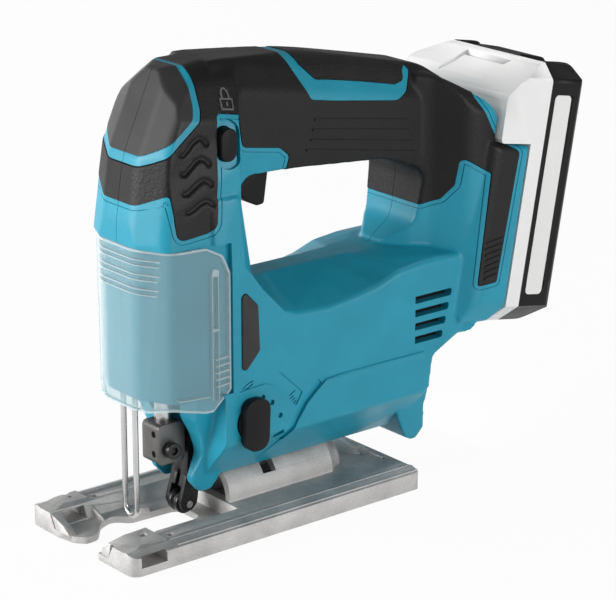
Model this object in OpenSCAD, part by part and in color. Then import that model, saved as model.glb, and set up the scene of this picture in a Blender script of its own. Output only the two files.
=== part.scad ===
// Cordless jigsaw with a closed handle, cast sole and slide-on battery.
// X runs from the blade end to the battery, Y is across, Z is up. The origin is
// the centre of the sole's underside. Drawn lengths start at the sole's front
// edge, and from_front() moves them to the origin.

/* [Sole] */
// Length of the cast sole
sole_len = 156; // [150:1:164]
// Width of the cast sole
sole_w = 77; // [74:1:80]
// Height of the sole's top face
sole_h = 9.3; // [8.8:0.1:10]
// Floor thickness where the sole is thin
sole_floor = 3; // [2.5:0.1:3.5]
// Half width of the blade slot
slot_half = 9; // [8:0.5:10]
// Rear end of the blade slot from the front edge
slot_end = 57; // [56:0.5:60]
// Outer radius of the bevel saddle
saddle_r = 16.5; // [16:0.1:17]
// Wall of the bevel saddle
saddle_wall = 3.6; // [3:0.1:4]
// Width of the fence channel
fence_w = 13; // [11:0.5:13.5]

/* [Body] */
// Half width of the motor body
body_half = 31; // [30:0.5:32]
// Half width of the battery foot
foot_half = 37.5; // [36.5:0.5:38.5]
// Half width of the handle core under its rubber
handle_half = 16.5; // [15.5:0.5:17.5]
// Half width of the head at its top
head_top_half = 25.5; // [24.5:0.5:26.5]
// Thickness of the rubber skin
skin = 1.6; // [1.2:0.1:2]
// Height of the finger opening's floor
opening_z = 106; // [105:0.5:107]
// Front of the finger opening
opening_x0 = 75; // [74:0.5:77]
// Rear of the finger opening at its floor
opening_x1 = 164; // [160:1:166]
// Lean of the battery foot from upright
lean = 10; // [9:0.5:11]

/* [Drive] */
// Height of the motor axis
motor_z = 73; // [72.5:0.5:73.5]
// Outer radius of the motor can
motor_r = 22.5; // [21:0.5:23]
// Front of the motor can
motor_x0 = 92; // [91:0.5:94]
// Length of the motor can
motor_len = 58; // [54:1:60]
// Radius of the motor shaft
shaft_r = 2.5; // [2:0.1:3]
// Gear module
gear_m = 0.8; // [0.7:0.05:0.85]
// Teeth on the pinion
pinion_teeth = 9; // [9:1:11]
// Teeth on the drive gear
gear_teeth = 46; // [43:1:47]
// Blade stroke
stroke = 18; // [16:1:18]
// Distance of the plunger axis from the front edge
plunger_x = 44; // [43.5:0.5:44.5]
// Radius of the plunger
plunger_r = 4; // [3.6:0.1:4.2]

/* [Front] */
// Wall of the clear dust cover
cover_wall = 1.6; // [1.4:0.1:1.8]
// Gap between the dust cover and the head behind it
cover_gap = 0.5; // [0.4:0.1:0.8]
// Downward travel of the dust cover
cover_travel = 20; // [15:1:20]
// Radius of the guard wire
wire_r = 1.25; // [1.1:0.05:1.4]
// Half distance between the guard wire's legs
wire_half = 4.2; // [4:0.1:4.6]
// Radius of the blade guide roller
roller_r = 5; // [4.6:0.1:5.2]

/* [Battery] */
// Height of the battery along its lean
pack_len = 112; // [108:1:114]
// Half width of the battery
pack_half = 37.2; // [36.5:0.1:37.4]
// Thickness of the battery's outer shell
pack_shell = 21.5; // [19:0.5:23]
// Thickness of the battery's rail case behind the foot
pack_rail = 8; // [7:0.5:9]
// Radius of a battery cell
cell_r = 9; // [8.8:0.1:9.1]

/* [Fits] */
// Radial clearance of a running shaft
run_fit = 0.05; // [0.02:0.01:0.08]
// Clearance between moving shells
slide_gap = 0.4; // [0.3:0.05:0.6]

/* [Hidden] */
$fn = 48;
eps = 0.02;

// Places along the leaned battery foot
foot_x = 207.3;
foot_z = 74.2;
foot_len = 74.3;
rail_depth = 14;
rail_half = 29;
rail_neck = 24;
rail_lip = 4;
opening_top = 148;
column_x0 = 58.2;
// Derived gear train
pinion_r = gear_m * pinion_teeth / 2;
gear_r = gear_m * gear_teeth / 2;
gear_z = motor_z + pinion_r + gear_r;
gear_x = 61;
gear_wide = 8;
crank_r = stroke / 2;
can_end = motor_x0 + motor_len;
// Orbital parts, guide roller and guard wire
lever_x = 68;
lever_z = 51;
roller_x = 52.5;
roller_z = 9;
pivot_x = 57;
pivot_z = 38;
wire_x = 26.3;
wire_low = 8;
// Dust cover
cover_z0 = 59.5;
cover_z1 = 131.2;
cover_x1 = 57.6;
// Lock-off button and trigger
lock_x = 60;
lock_z = 172;
trigger_x = 81.5;
trigger_wide = 11;
// Bevel saddle
saddle_x0 = 67;
saddle_x1 = 124;
bolt_x = 90;
bolt_r = 3;
// Housing screws, each by its place in the side view and its head's seat
SCREWS = [[46, 190, 9], [69.5, 140, 14], [76, 56.5, 14], [84, 43.5, 14], [128, 42, 14], [187, 84, 14],
    [184, 150, 14], [141, 161, 7]];
screw_r = 1.6;
screw_head_r = 3;
screw_head = 2.6;
boss_r = 3.8;

// Insides of the housing
hollow_half = 12.5;
bay_r = motor_r + 2.5;
bay_end = 171;
case_x0 = 34;
case_x1 = 80;
case_x2 = 71.5;
case_half = 23;
case_top_half = 20.5;
case_z0 = 64;
case_z1 = 128;
case_step = 104;
switch_x0 = 84;
switch_x1 = 126;
switch_half = 8;
switch_z0 = 163;
switch_z1 = 180;
trigger_len = 15.4;
trigger_top = 156;
spring_x = 88;
lock_r = 4;
lock_rise = 3;
nose_half = 11.5;
pad_depth = 1.8;
pad_proud = 0.6;
vent_z = 86;
vent_step = 6.2;
// Gear train, bearings and motor
gear_back = gear_x + gear_wide;
axle_r = 3;
crank_pin_r = 2.5;
yoke_half = 17;
yoke_x1 = plunger_x + plunger_r + 4;
roller_face = yoke_x1 + 0.35;
gear_bearing_r = 7;
bearing_r = 8;
bearing_w = 5;
bush_r = 6.5;
bush_len = 10;
bush_low_z = 60;
bush_boss_r = 8.5;
backlash = 0.84;
pinion_bore = 1.6;
armature_r = 15;
commutator_r = 8;
fan_x = 160;
fan_r = 20;
// Blade clamp, roller holder and cam
clamp_x0 = 36;
clamp_x1 = 49.6;
clamp_half = 8;
clamp_floor = 42;
clamp_screw_r = 2.5;
pin_r = 2;
roller_pin_r = 1.6;
roller_half = 3.2;
holder_half = 5.6;
lever_r = 3;
cam_half = 6;
wire_top = 71;
// Bevel clamp
saddle_fit = 0.3;
bevel_max = 45;
cradle_x0 = 71;
cradle_x1 = 112;
cradle_half = 11.2;
cradle_top = 34;
plate_z = sole_h + 8.6;
FENCE_SCREWS = [[15.4, -27], [26.4, -27.2], [15.3, 31], [25.8, 27.6]];
fence_screw_r = 1.6;
zone_end = 65.5;
// Terminal block and battery
block_b0 = -23.6;
block_b1 = -rail_depth - slide_gap;
block_half = 13;
block_t0 = 18;
block_t1 = 62;
blade_gap = 7;
board_b = -5.6;
cell_b = 18;
cell_len = 2 * (pack_half - 4.7);
latch_half = 14;
latch_t = 97.4;
latch_press = 3.4;
latch_b = -7;
latch_b0 = -13.6;
latch_b1 = 1.6;
label_deep = 0.5;
pack_low = -2.2;
// Colours
TEAL = [0.05, 0.5, 0.6];
RUBBER = [0.14, 0.14, 0.14];
BLACK = [0.1, 0.1, 0.11];
STEEL = [0.7, 0.7, 0.72];
DARK_STEEL = [0.35, 0.33, 0.32];
ALUMINIUM = [0.8, 0.8, 0.8];
BRASS = [0.75, 0.6, 0.3];
WHITE = [0.95, 0.95, 0.93];
CLEAR = [0.8, 0.88, 0.9, 0.35];
GREEN = [0.1, 0.45, 0.3];

function unit(v) = v / norm(v);
function turn(a) = (a + 540) % 360 - 180;
// One rounded corner b between a and c, as an arc of radius r
function corner(a, b, c, r, n) =
    let (u = unit(a - b), w = unit(c - b), half = acos(max(-1, min(1, u * w))) / 2)
    let (centre = b + unit(u + w) * r / sin(half))
    let (p = b + u * r / tan(half) - centre, q = b + w * r / tan(half) - centre)
    let (a0 = atan2(p.y, p.x), sweep = turn(atan2(q.y, q.x) - a0))
    [for (i = [0:n]) centre + r * [cos(a0 + sweep * i / n), sin(a0 + sweep * i / n)]];
// A closed outline from corners [x, y, radius]
function rounded(pts, n = 4) =
    [for (i = [0:len(pts) - 1])
        let (k = len(pts), a = pts[(i + k - 1) % k], b = pts[i], c = pts[(i + 1) % k])
        each b[2] > 0
            ? corner([a.x, a.y], [b.x, b.y], [c.x, c.y], b[2], n)
            : [[b.x, b.y]]];
// The outline of a half, [x, y] with y above 0, closed by its mirror image
function both(pts) = concat(pts, [for (i = [len(pts) - 1:-1:0]) [pts[i].x, -pts[i].y, pts[i][2]]]);
function across(pts) = concat(pts, [for (i = [len(pts) - 1:-1:0]) [-pts[i].x, pts[i].y, pts[i][2]]]);

module from_front() translate([-sole_len / 2, 0, 0]) children();
module leaned() translate([foot_x, 0, foot_z]) rotate([0, lean, 0]) children();
module side_cut(pts, y0, y1) translate([0, y1, 0]) rotate([90, 0, 0]) linear_extrude(y1 - y0) polygon(pts);
module plan_cut(pts, z0, z1) translate([0, 0, z0]) linear_extrude(z1 - z0) polygon(pts);
module front_cut(pts, x0, x1) translate([x0, 0, 0]) rotate([90, 0, 90]) linear_extrude(x1 - x0) polygon(pts);
module rod_x(x0, x1, r, y = 0, z = 0) translate([x0, y, z]) rotate([0, 90, 0]) cylinder(r = r, h = x1 - x0);
module rod_y(y0, y1, r, x, z) translate([x, y1, z]) rotate([90, 0, 0]) cylinder(r = r, h = y1 - y0);
module rod_z(z0, z1, r, x = 0, y = 0) translate([x, y, z0]) cylinder(r = r, h = z1 - z0);
module ring_x(x0, x1, r_out, r_in, z) {
    difference() {
        rod_x(x0, x1, r_out, 0, z);
        rod_x(x0 - 1, x1 + 1, r_in, 0, z);
    }
}
module box(x0, x1, y0, y1, z0, z1) translate([x0, y0, z0]) cube([x1 - x0, y1 - y0, z1 - z0]);
// A coil spring: wire swept along a helix, its ends within the height h
function coil_ring(a, rise, r, wire) = [for (k = [0:5]) let (b = 60 * k)
    [(r + wire * cos(b)) * cos(a), (r + wire * cos(b)) * sin(a), rise + wire * sin(b)]];
module coil(r, wire, turns, h) {
    rings = turns * 14;
    points = [for (i = [0:rings]) each coil_ring(360 * turns * i / rings, wire * 1.5 + (h - 3 * wire) * i / rings, r, wire)];
    sides = [for (i = [0:rings - 1], k = [0:5]) let (a = 6 * i, b = (k + 1) % 6) [a + k, a + 6 + k, a + 6 + b, a + b]];
    polyhedron(points, concat(sides, [[for (k = [0:5]) k]], [[for (k = [5:-1:0]) 6 * rings + k]]));
}
// Keeps one side of the seam: -1 is the left half, 1 the right
module half_of(s) {
    intersection() {
        children();
        box(-20, 300, s < 0 ? -80 : 0, s < 0 ? 0 : 80, -10, 240);
    }
}

// ---- Outer forms, each drawn in by d where rubber covers it ----
// Leaning cuts that taper the head: front x and height, lean, and the cut's half outline
// as [distance behind the front, half width, radius]
HEAD_CUTS = [
    [20.5, 131, 9, [[0, 10, 12], [7.5, 27.6, 10], [34, 31, 12], [130, 31, 0]]],
    [25.2, 165, 24, [[0, 10.3, 10], [5.2, 26.5, 10], [52, 28.6, 14], [130, 29.3, 0]]],
    [29.7, 191.2, 36, [[0, 8.1, 8], [10.2, 25.2, 10], [38, 27.3, 14], [130, 31, 0]]],
    [38.5, 201.5, 58, [[0, 2, 3], [11.8, 22.6, 10], [31, 24.2, 14], [60, 30.5, 30], [130, 31, 0]]]];
function top_side(d) = rounded([
    [21.6 + d, cover_z1 + slide_gap, 0], [22.1 + d, 146, 30], [25.8 + d, 166.5, 60], [28.6 + d, 181, 40],
    [32 + d, 193.5, 12], [37 + d, 200.8 - d, 8], [46, 203.2 - d, 20], [64, 204.3 - d, 60], [112, 200.6 - d, 120], [177, 186.2 - d, 20],
    [199, 171.2 - d, 8], [206, 160, 4], [206, 132, 0], [176, 132, 0], [100, 142, 0],
    [74, cover_z1 + slide_gap, 0]]);
function head_plan(d) = rounded(both([
    [21.5 + d, 11.8 - d, 16], [29.5 + d, 29.2 - d, 9], [46, 30.1 - d, 30], [62, 30.2 - d, 5],
    [65, 28.6 - d, 6], [opening_x0, 11, 4]]));
function cover_plan(d) = rounded(both([
    [21.5 + d, 12 - d, 16], [30 + d, 27.5 - d, 9], [46, 29.8 - d, 30], [62, 30.4 - d, 4],
    [72.5, 23 - d, 8], [opening_x0, 12, 8]]));
function head_front(d) = rounded(across([
    [body_half, 100, 0], [body_half, 139, 60], [head_top_half + 3.8 - d, 169.6, 25], [13.5 - d, 204.6 - d, 16]]));
// Section of the handle, across and up from its leaning axis
function handle_section(d) = rounded(across([
    [handle_half + skin - d - 3, -31, 6], [handle_half + skin - d, -14, 14],
    [handle_half + skin - d, 12, 12], [handle_half - 6 - d, 28.4 - d, 12]]));
module head_form(d) {
    intersection() {
        side_cut(top_side(d), -40, 40);
        plan_cut(head_plan(d), cover_z1 + slide_gap, 210);
        front_cut(head_front(d), 15, 90);
        intersection_for(cut = HEAD_CUTS) {
            translate([cut[0] + d, 0, cut[1]]) rotate([0, cut[2], 0])
                plan_cut(rounded(both([for (p = cut[3]) [p.x, p.y - min(d, p.y / 2), p[2]]])), -60, 90);
        }
    }
}
module grip_bar(d) {
    intersection() {
        side_cut(top_side(d), -40, 40);
        translate([64, 0, 180]) rotate([0, lean, 0]) front_cut(handle_section(d), -8, 150);
    }
}
module rear_form(d) {
    intersection() {
        side_cut(rounded([[140, 92, 0], [140, 128, 0], [165, 140, 0], [170, 184.6 - d, 0], [177, 183.6 - d, 14],
            [199, 170.2 - d, 8], [206, 160, 4], [203, 130, 0], [200, 80, 0], [192, 66, 4], [176, 62, 0],
            [160, 80, 0]]), -40, 40);
        front_cut(rounded(across([[42 - d, 60, 0], [42 - d, 150, 0], [24 - d, 184, 22]])), 130, 210);
        plan_cut(rounded(both([[159 + d, 7 - d, 6], [168 + d, 15.5 - d, 8], [177, 20.5 - d, 14],
            [190, body_half + 2.5 - d, 14], [240, body_half + 2.5 - d, 0]])), 40, 210);
    }
}
module foot_form(d) {
    leaned() intersection() {
        plan_cut(rounded(both([[-32, 24, 8], [-19, foot_half - d, 8], [0, foot_half - d, 1.5]])), -12, foot_len);
        front_cut(rounded(across([[foot_half - 5 - d, -9, 6], [foot_half - d, 3, 5],
            [foot_half - d, foot_len, 3]])), -40, 1);
        side_cut([[0, 0], [-6, -7], [-22, -9], [-30, 10], [-24, foot_len], [0, foot_len]], -40, 40);
    }
}
module body_form() {
    intersection() {
        front_cut(rounded(across([[12.5, 22.2, 0.8], [body_half, 42.6, 6], [body_half, 92, 4],
            [22, 97, 12], [12, 104.6, 8], [5, opening_z + 0.4, 6]])), 55, 200);
        side_cut(rounded([[58.6, 20, 0], [58.6, 140, 0], [opening_x0 + 8, 116, 0], [196, 112, 0],
            [200, 70, 3], [184, 65, 8], [170, 58, 4], [167, 36, 2], [156.5, 30, 0], [148, 26, 6],
            [138, 26, 3], [134, 20, 2]]), -40, 40);
    }
    // Rear ears that reach down behind the sole
    intersection() {
        side_cut(rounded([[157.2, 60, 0], [157.2, 29, 2], [163, 17.4, 3], [169, 14.2, 4], [173.8, 20, 3],
            [173, 31, 3], [174, 37, 4], [170.5, 60, 0]]), -40, 40);
        front_cut(rounded(across([[20, 10, 0], [22.5, 34, 20], [body_half - 1.5, 60, 0]])), 150, 180);
    }
}
module nose_form() {
    intersection() {
        front_cut(rounded(across([[12, 16, 2], [14.6, 17.4, 2], [15.8, 28, 8], [18.5, 38, 12], [26, 66, 0]])), 40, 72);
        side_cut(rounded([[46, 67, 0], [44, 27, 4], [52.5, 17.3, 3], [58.5, 17.3, 4], [69, 34, 6],
            [69, 67, 0]]), -40, 40);
    }
}
module core_behind_cover() {
    inset = cover_wall + cover_gap;
    plan_cut(cover_plan(inset), 66, cover_z1 + slide_gap + eps);
}
// The opening that the fingers reach through; d widens it where rubber lines it
module finger_opening(d) {
    side_cut(rounded([[opening_x0, opening_top + 6 + d, 6], [opening_x0, 122, 40], [opening_x0 + 9, opening_z, 8],
        [opening_x1 - 8, opening_z, 12], [opening_x1 + 6.5, 116, 10], [opening_x1 + 10.5 + d, 141 + d, 7],
        [152, 149 + d, 30], [106, 152.9 + d, 4]]), -45, 45);
}
// Column between the head and the motor body, and the shoulders that it stands on
module column_form() {
    plan_cut(rounded(both([[column_x0, body_half, 0], [64, body_half, 5], [71.5, 25, 6], [opening_x0 + 1, 12, 0]])),
        98, cover_z1 + slide_gap + eps);
    side_cut(rounded([[column_x0, 66, 0], [column_x0, 114, 0], [74, 114, 6], [85.5, 97, 10], [94, 92.5, 0],
        [94, 66, 0]]), -body_half, body_half);
}
// T-shaped space of the battery's sliding rail, in the leaned frame
module rail_space(gap, t0) {
    box(-rail_depth - gap, 1 - rail_lip - gap, -rail_half - gap, rail_half + gap, t0, 140);
    box(-rail_depth - gap, 5, -rail_neck - gap, rail_neck + gap, t0, 140);
}
module outer_form(d) {
    difference() {
        union() {
            head_form(d);
            grip_bar(d);
            rear_form(d);
            foot_form(d);
            body_form();
            column_form();
            nose_form();
            core_behind_cover();
        }
        finger_opening(d);
        leaned() rail_space(slide_gap, 2);
        leaned() box(-19, 40, -45, 45, foot_len, 130);
    }
}

// ---- Zones of the rubber overmould, drawn in the side view ----
function grip_zone() = rounded([
    [52.5, 215, 0], [51, 197, 20], [49, 184.5, 5], [33.5, 172.3, 4], [15, 163.5, 0], [15, 152, 0],
    [31.5, 155, 0], [31.5, 140.5, 4], [36, 136.8, 3], [51, 139, 4], [53.5, 146, 4], [53.5, 187, 1],
    [65, 185.3, 2], [66.5, 168, 2], [95, 163, 2], [100, 157, 2], [97, 149, 0], [140, 140, 0],
    [152, 132, 0], [172, 124, 4], [179, 130, 3], [182, 146, 3], [196.8, 137.4, 2], [190, 87.6, 1],
    [201.3, 87.7, 1], [213.7, 146, 2], [203.5, 152, 1], [192, 173, 4], [200, 215, 0]]);
function nose_zone() = rounded([
    [10, 168, 0], [27, 169.5, 10], [30.5, 173.5, 4], [44.5, 186.5, 5], [46.5, 196, 12], [47.5, 215, 0],
    [10, 215, 0]]);
function pad_zone() = rounded([[62.6, 76, 1], [64.4, 74, 1.5], [72, 82, 2], [71.2, 102, 2], [64.6, 109, 1.5],
    [62.6, 107, 1]]);
// ---- Rubber overmould and pads ----
module rubber(s, zone) {
    half_of(s) difference() {
        intersection() {
            outer_form(0);
            side_cut(zone, -45, 45);
        }
        outer_form(skin);
        lock_hole();
        screw_holes();
    }
}
module grip(s) color(RUBBER) from_front() rubber(s, grip_zone());
module nose_grip(s) color(RUBBER) from_front() rubber(s, nose_zone());
module pad_space(s, y_out) {
    y_in = body_half - pad_depth;
    side_cut(pad_zone(), s < 0 ? -y_out : y_in, s < 0 ? -y_in : y_out);
}
module side_pad(s) color(RUBBER) from_front() pad_space(s, body_half + pad_proud);

// ---- Housing halves ----
module lock_shape(r) {
    for (z = [lock_z - lock_rise, lock_z + lock_rise]) rod_y(-45, 45, r, lock_x, z);
    box(lock_x - r, lock_x + r, -45, 45, lock_z - lock_rise, lock_z + lock_rise);
}
module lock_hole() lock_shape(lock_r + slide_gap);
module screw_holes() {
    for (p = SCREWS) {
        rod_y(-11, 45, screw_r + run_fit, p.x, p.y);
        rod_y(p.z, 45, screw_head_r + run_fit, p.x, p.y);
    }
}
module gear_case_form() {
    box(case_x0, case_x1, -case_half, case_half, case_z0, case_step);
    box(case_x0, case_x2, -case_top_half, case_top_half, case_step - eps, case_z1);
}
// Motor bay with two ribs that hold the can, and the rear bearing's seat
module motor_bay() {
    difference() {
        rod_x(case_x1 - eps, bay_end, bay_r, 0, motor_z);
        for (x = [motor_x0 + 6, can_end - 12]) ring_x(x, x + 2.5, bay_r + 1, motor_r + run_fit, motor_z);
    }
    rod_x(bay_end - eps, bay_end + bearing_w + run_fit, bearing_r + run_fit, 0, motor_z);
    rod_x(bay_end, bay_end + bearing_w + 4, shaft_r + 1, 0, motor_z);
}
// Hollow of the head and the handle, with the ribs that carry the switch
module handle_hollow() {
    box(38, 64, -16, 16, case_z1 - eps, 186);
    difference() {
        side_cut(rounded([[62, 158, 0], [62, 196, 0], [110, 191, 10], [172, 177, 4], [182, 168, 0],
            [176, 154, 0], [150, 154.6, 0], [106, 160, 0]]), -hollow_half, hollow_half);
        for (x = [switch_x0 + 4, switch_x1 - 7]) box(x, x + 3, -20, 20, 140, 200);
    }
    box(switch_x0, switch_x1, -switch_half, switch_half, switch_z0, switch_z1);
}
module trigger_slot() {
    box(trigger_x - slide_gap, trigger_x + trigger_len + slide_gap, -trigger_wide / 2 - slide_gap,
        trigger_wide / 2 + slide_gap, 140, switch_z0 + eps);
}
// Hollow of the nose for the blade clamp, the roller holder and the cam
module nose_hollow() {
    box(20, 63, -nose_half, nose_half, 5, 59.5);
    box(20, 56, -15, 15, 59, case_z0 + eps);
    box(58, 76, -8, 8, 43, 59.5);
    rod_y(-14, 14, pin_r + run_fit, pivot_x, pivot_z);
}
module lever_seat() {
    rod_y(-body_half - 5, -body_half + 2.5, 8.2, lever_x, lever_z);
    rod_y(-body_half, cam_half + 4, lever_r + run_fit, lever_x, lever_z);
}
// Clearance for the turning saddle, the cradle's seat and the bolt's head room
module saddle_space() {
    rod_x(saddle_x0 - 2, 138, saddle_r + 0.6, 0, sole_h);
    box(cradle_x0, cradle_x1, -cradle_half, cradle_half, 20, cradle_top);
}
module bushing_space() rod_z(bush_low_z - eps, case_z0 + 1, bush_boss_r, plunger_x);
module vents() {
    for (i = [0:3], s = [-1, 1]) {
        z = vent_z - vent_step * i;
        box(159, 181 - 1.7 * i, s < 0 ? -45 : 18, s < 0 ? -18 : 45, z - 1.8, z + 1.8);
    }
}
module cavities() {
    difference() {
        union() {
            motor_bay();
            handle_hollow();
        }
        for (p = SCREWS) rod_y(-20, 20, boss_r, p.x, p.y);
    }
    gear_case_form();
    trigger_slot();
    nose_hollow();
    lever_seat();
    saddle_space();
    bushing_space();
    vents();
    leaned() box(block_b0 - run_fit, block_b1, -block_half - run_fit, block_half + run_fit, block_t0 - run_fit,
        block_t1 + run_fit);
    for (s = [-1, 1]) rod_z(60, wire_top + 0.5, wire_r + run_fit, wire_x, s * wire_half);
}
module housing(s) {
    color(TEAL) from_front() half_of(s) difference() {
        outer_form(0);
        difference() {
            union() {
                side_cut(grip_zone(), -45, 45);
                side_cut(nose_zone(), -45, 45);
            }
            outer_form(skin);
        }
        cavities();
        lock_hole();
        screw_holes();
        pad_space(s, 45);
    }
}
module housing_screws() {
    color(STEEL) from_front() for (p = SCREWS) {
        difference() {
            union() {
                rod_y(-10, p.z + eps, screw_r, p.x, p.y);
                rod_y(p.z, p.z + screw_head, screw_head_r, p.x, p.y);
            }
            translate([p.x, p.z + screw_head + 1, p.y]) rotate([90, 0, 0]) cylinder(r = 1.4, h = 2.4, $fn = 6);
        }
    }
}

// ---- Switch, trigger and lock ----
module switch_body() {
    color(BLACK) from_front() difference() {
        box(switch_x0, switch_x1, -switch_half, switch_half, switch_z0, switch_z1);
        rod_z(switch_z0 - 1, switch_z0 + 10, 1.8 + slide_gap, spring_x);
    }
}
module switch_plunger() {
    color(BLACK) from_front() rod_z(trigger_top, switch_z0 + 2, 1.8, spring_x);
}
module trigger() {
    color(BLACK) from_front() intersection() {
        side_cut(rounded([[trigger_x, trigger_top, 0], [trigger_x, 143, 8], [85, 139, 3], [91, 135.9, 2.5],
            [94.8, 136.2, 1.5], [trigger_x + trigger_len, 150, 4], [trigger_x + trigger_len, trigger_top, 0]]), -10, 10);
        front_cut(rounded(across([[trigger_wide / 2, 130, 4], [trigger_wide / 2, trigger_top, 0]])), 60, 120);
    }
}
module trigger_spring() {
    color(STEEL) from_front() translate([spring_x, 0, trigger_top])
        coil(3.2, 0.35, 3, switch_z0 - trigger_top);
}
module lock_off_button() {
    color(BLACK) from_front() intersection() {
        lock_shape(lock_r);
        box(0, 100, -head_top_half - 2, head_top_half - 2, 0, 200);
    }
}
module terminal_block() {
    color(BLACK) from_front() leaned() {
        box(block_b0, block_b1, -block_half, block_half, block_t0, block_t1);
        for (y = [-blade_gap, 0, blade_gap]) box(block_b1 - eps, -9, y - 0.5, y + 0.5, 25, 45);
    }
}

// ---- Gear case, plunger and crank ----
module gear_case() {
    color(ALUMINIUM) from_front() difference() {
        union() {
            gear_case_form();
            rod_z(bush_low_z, case_z0 + 1, bush_boss_r, plunger_x);
        }
        box(case_x0 + 3, gear_back + 0.5, -case_half + 2.5, case_half - 2.5, case_z0 + 3.5, case_step - 1);
        box(case_x0 + 3, gear_back + 0.5, -case_top_half + 2.5, case_top_half - 2.5, case_step - 2, case_z1 - bush_len);
        rod_z(bush_low_z - 1, case_z1 + 1, bush_r + run_fit, plunger_x);
        rod_x(gear_back, case_x1 + 1, bearing_r + run_fit, 0, motor_z);
        rod_x(gear_back, case_x1 + 1, gear_bearing_r + run_fit, 0, gear_z);
    }
}
module bush(z) {
    color(BRASS) from_front() difference() {
        rod_z(z, z + bush_len, bush_r, plunger_x);
        rod_z(z - 1, z + bush_len + 1, plunger_r + run_fit, plunger_x);
    }
}
module lower_bush() bush(bush_low_z);
module upper_bush() bush(case_z1 - bush_len);
module plunger() {
    color(STEEL) from_front() {
        rod_z(clamp_floor, 140, plunger_r, plunger_x);
        difference() {
            box(plunger_x, yoke_x1, -yoke_half, yoke_half, gear_z - 9, gear_z + 9);
            box(plunger_x + plunger_r - 0.5, yoke_x1 + 1, -yoke_half + 2.6, yoke_half - 2.6, gear_z - 5.4, gear_z + 5.4);
            box(plunger_x - 1, yoke_x1 - 2, plunger_r - 0.5, yoke_half + 1, gear_z - 10, gear_z + 10);
            box(plunger_x - 1, yoke_x1 - 2, -yoke_half - 1, -plunger_r + 0.5, gear_z - 10, gear_z + 10);
        }
    }
}
module blade_clamp() {
    color(STEEL) from_front() difference() {
        intersection() {
            box(clamp_x0, clamp_x1, -clamp_half, clamp_half, 31, 49);
            side_cut(rounded([[clamp_x0, 31, 2], [clamp_x1, 31, 2], [clamp_x1, 49, 2], [clamp_x0, 49, 2]]), -20, 20);
        }
        rod_z(clamp_floor, 50, plunger_r + run_fit, plunger_x);
        box(38.5, 46.5, -0.8, 0.8, 30, clamp_floor + 1);
        rod_y(-clamp_half - 1, 0, clamp_screw_r + run_fit, 41.6, 37.7);
        for (z = [35.5, 44.5]) rod_x(clamp_x0 - 1, clamp_x0 + 1.5, 1.5, -3.6, z);
    }
}
module clamp_screw() {
    color(BLACK) from_front() difference() {
        union() {
            rod_y(-clamp_half - eps, -1, clamp_screw_r, 41.6, 37.7);
            rod_y(-nose_half + 0.3, -clamp_half, 3.6, 41.6, 37.7);
        }
        translate([41.6, -nose_half + 2.2, 37.7]) rotate([90, 0, 0]) cylinder(r = 1.8, h = 3, $fn = 6);
    }
}
// Straight-flanked teeth with running backlash
function tooth(r, a, wide) = [
    [r - 1.2 * gear_m, a - 1.5 * wide], [r, a - wide], [r + 0.75 * gear_m, a - 0.5 * wide],
    [r + 0.75 * gear_m, a + 0.5 * wide], [r, a + wide], [r - 1.2 * gear_m, a + 1.5 * wide]];
function gear_outline(n) = [for (i = [0:n - 1], p = tooth(gear_m * n / 2, 360 * i / n, backlash * 90 / n))
    [p[0] * cos(p[1]), p[0] * sin(p[1])]];
module gear(n, wide) rotate([90, 0, 90]) linear_extrude(wide) polygon(gear_outline(n));
module drive_gear() {
    color(STEEL) from_front() translate([0, 0, gear_z]) {
        difference() {
            translate([gear_x, 0, 0]) gear(gear_teeth, gear_wide);
            rod_x(gear_x - 1, gear_back + 1, axle_r + run_fit);
            rod_x(gear_x + 3, gear_back + 1, gear_r - 3);
        }
        difference() {
            rod_x(gear_x + 2, gear_back, 6);
            rod_x(gear_x - 1, gear_back + 1, axle_r + run_fit);
        }
        rod_x(roller_face, gear_x + eps, crank_pin_r, 0, crank_r);
    }
}
module crank_roller() {
    color(STEEL) from_front() translate([0, 0, crank_r]) ring_x(roller_face, gear_x - 0.3, 5, crank_pin_r + run_fit, gear_z);
}
module gear_axle() color(STEEL) from_front() rod_x(gear_x, case_x1, axle_r, 0, gear_z);
module gear_bearing() {
    color(BRASS) from_front() ring_x(gear_back + 1, case_x1, gear_bearing_r, axle_r + run_fit, gear_z);
}

// ---- Motor ----
module motor_can() {
    color(STEEL) from_front() {
        ring_x(motor_x0, can_end, motor_r, motor_r - 1.8, motor_z);
        ring_x(motor_x0, motor_x0 + 2, motor_r - 1, 7, motor_z);
    }
}
module magnets() {
    color(DARK_STEEL) from_front() difference() {
        ring_x(motor_x0 + 6, can_end - 12, motor_r - 1.8 - run_fit, armature_r + 0.8, motor_z);
        for (s = [-1, 1]) box(motor_x0, can_end, -6, 6, motor_z + (s < 0 ? -30 : 5), motor_z + (s < 0 ? -5 : 30));
    }
}
module end_bell() {
    color(BLACK) from_front() {
        difference() {
            ring_x(can_end, can_end + 4, motor_r, 6, motor_z);
            for (a = [30:60:330]) translate([0, 0, motor_z]) rotate([a, 0, 0]) rod_x(can_end - 1, can_end + 5, 3, 14);
        }
        for (s = [-1, 1]) difference() {
            box(can_end - 9, can_end + 1, s < 0 ? -16 : 9, s < 0 ? -9 : 16, motor_z - 5, motor_z + 5);
            box(can_end - 8.2, can_end - 1.8, -17, 17, motor_z - 3, motor_z + 3);
        }
    }
}
module brushes() {
    color(DARK_STEEL) from_front() for (s = [-1, 1])
        box(can_end - 8, can_end - 2, s < 0 ? -15 : commutator_r + 0.2, s < 0 ? -commutator_r - 0.2 : 15, motor_z - 2.8,
            motor_z + 2.8);
}
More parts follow.
